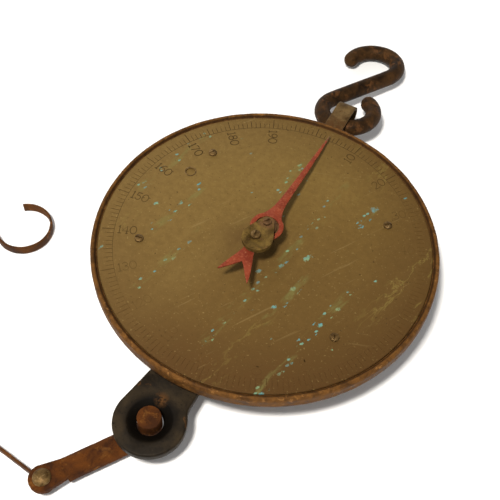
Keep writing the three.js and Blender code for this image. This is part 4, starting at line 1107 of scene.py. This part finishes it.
def make_strip_hook():
    ex, ey = link_end()
    reach, join = TIP["r"] + BOW["r"], radians(TIP["to"])
    bow_x, bow_y = TIP["x"] + reach * cos(join), TIP["y"] + reach * sin(join)
    route = arc(TIP["x"], TIP["y"], TIP["r"], TIP["from"], TIP["to"], 60)
    route += arc(bow_x, bow_y, BOW["r"], TIP["to"] + 180, BOW["to"], 90)[1:]
    route += [(ex - 0.7 * STRIP_EYE_R, ey + 0.4)]
    centre = resampled([Vector((x, y, 0)) for x, y in route], 1.2)
    last = len(centre) - 1
    near, far = [], []
    for i, point in enumerate(centre):
        tangent = (centre[min(i + 1, last)] - centre[max(i - 1, 0)]).normalized()
        side = Vector((-tangent.y, tangent.x, 0)) * (STRIP_THICK / 2)
        near.append(point + side)
        far.append(point - side)
    edges = [(near, STRIP_LOW), (near, STRIP_HIGH), (far, STRIP_HIGH), (far, STRIP_LOW)]
    strip = four_sided("strip_ribbon", [[(p.x, p.y, z) for p in line] for line, z in edges], STRIP_RUST)
    bevel(strip, 0.32, 3, 50)
    roughen(strip, 0.16, 0.25)
    smooth(strip, 45)
    place(strip, "load_hook", "orange_rust", "strip_hook")
    bore, soft = RIVET["hole"], STRIP_EYE_R - 0.3
    eye = turned("strip_eye", [
        (bore, STRIP_LOW), (soft, STRIP_LOW), (STRIP_EYE_R, STRIP_LOW + 0.3),
        (STRIP_EYE_R, STRIP_HIGH - 0.3), (soft, STRIP_HIGH), (bore, STRIP_HIGH),
    ], 48, STRIP_RUST)
    shift(eye, ex, ey)
    smooth(eye, 40)
    place(eye, "load_hook", "orange_rust")


# ---- springs and inner works ----
def make_springs():
    mid = SPRING_R - SPRING_WIRE / 2
    for side, tag in ((-1, "left"), (1, "right")):
        x = LINE_X + side * SPRING_OFFSET
        count = SPRING_TURNS * SPRING_STEPS
        route = []
        for i in range(count + 1):
            turn = 2 * pi * SPRING_TURNS * i / count
            y = SPRING_LOW_Y + 1.5 + (SPRING_HIGH_Y - SPRING_LOW_Y - 3) * i / count
            route.append(Vector((x + mid * cos(turn), y, LOAD_Z + mid * sin(turn))))
        coil = bar_along(f"coil_{tag}", route, SPRING_WIRE / 2 - 0.02, SPRING_SIDES, STEEL)
        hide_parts(f"spring_{tag}")
        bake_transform(coil)


def finish_inner_works():
    """Every CAD node gets a worked edge and its slot's metal. Later pieces replace some of them."""
    metals = {"aged_brass": PLATE_BRASS, "forged_iron": FORGED, "steel": STEEL, "rusty_iron": SHELL_RUST,
              "strap_iron": STRAP, "orange_rust": ORANGE, "red_paint": RED}
    for entry in frame["record"]["subparts"]:
        node = frame["nodes"][entry["node"]]
        node.data.materials.clear()
        node.data.materials.append(metals[entry["material_slot"]])
        edge = node.modifiers.new("worked_edge", "BEVEL")
        edge.width = 0.25 * MM
        edge.segments = 2
        edge.limit_method = "ANGLE"
        edge.angle_limit = radians(50)


make_camera()
make_stage()
finish_inner_works()
make_dial()
make_numbers()
make_rim()
make_shell()
make_dial_screws()
make_pointer()
make_boss()
make_clamp()
make_strap()
make_draw_bar()
make_s_hook()
make_link()
make_strip_hook()
make_springs()
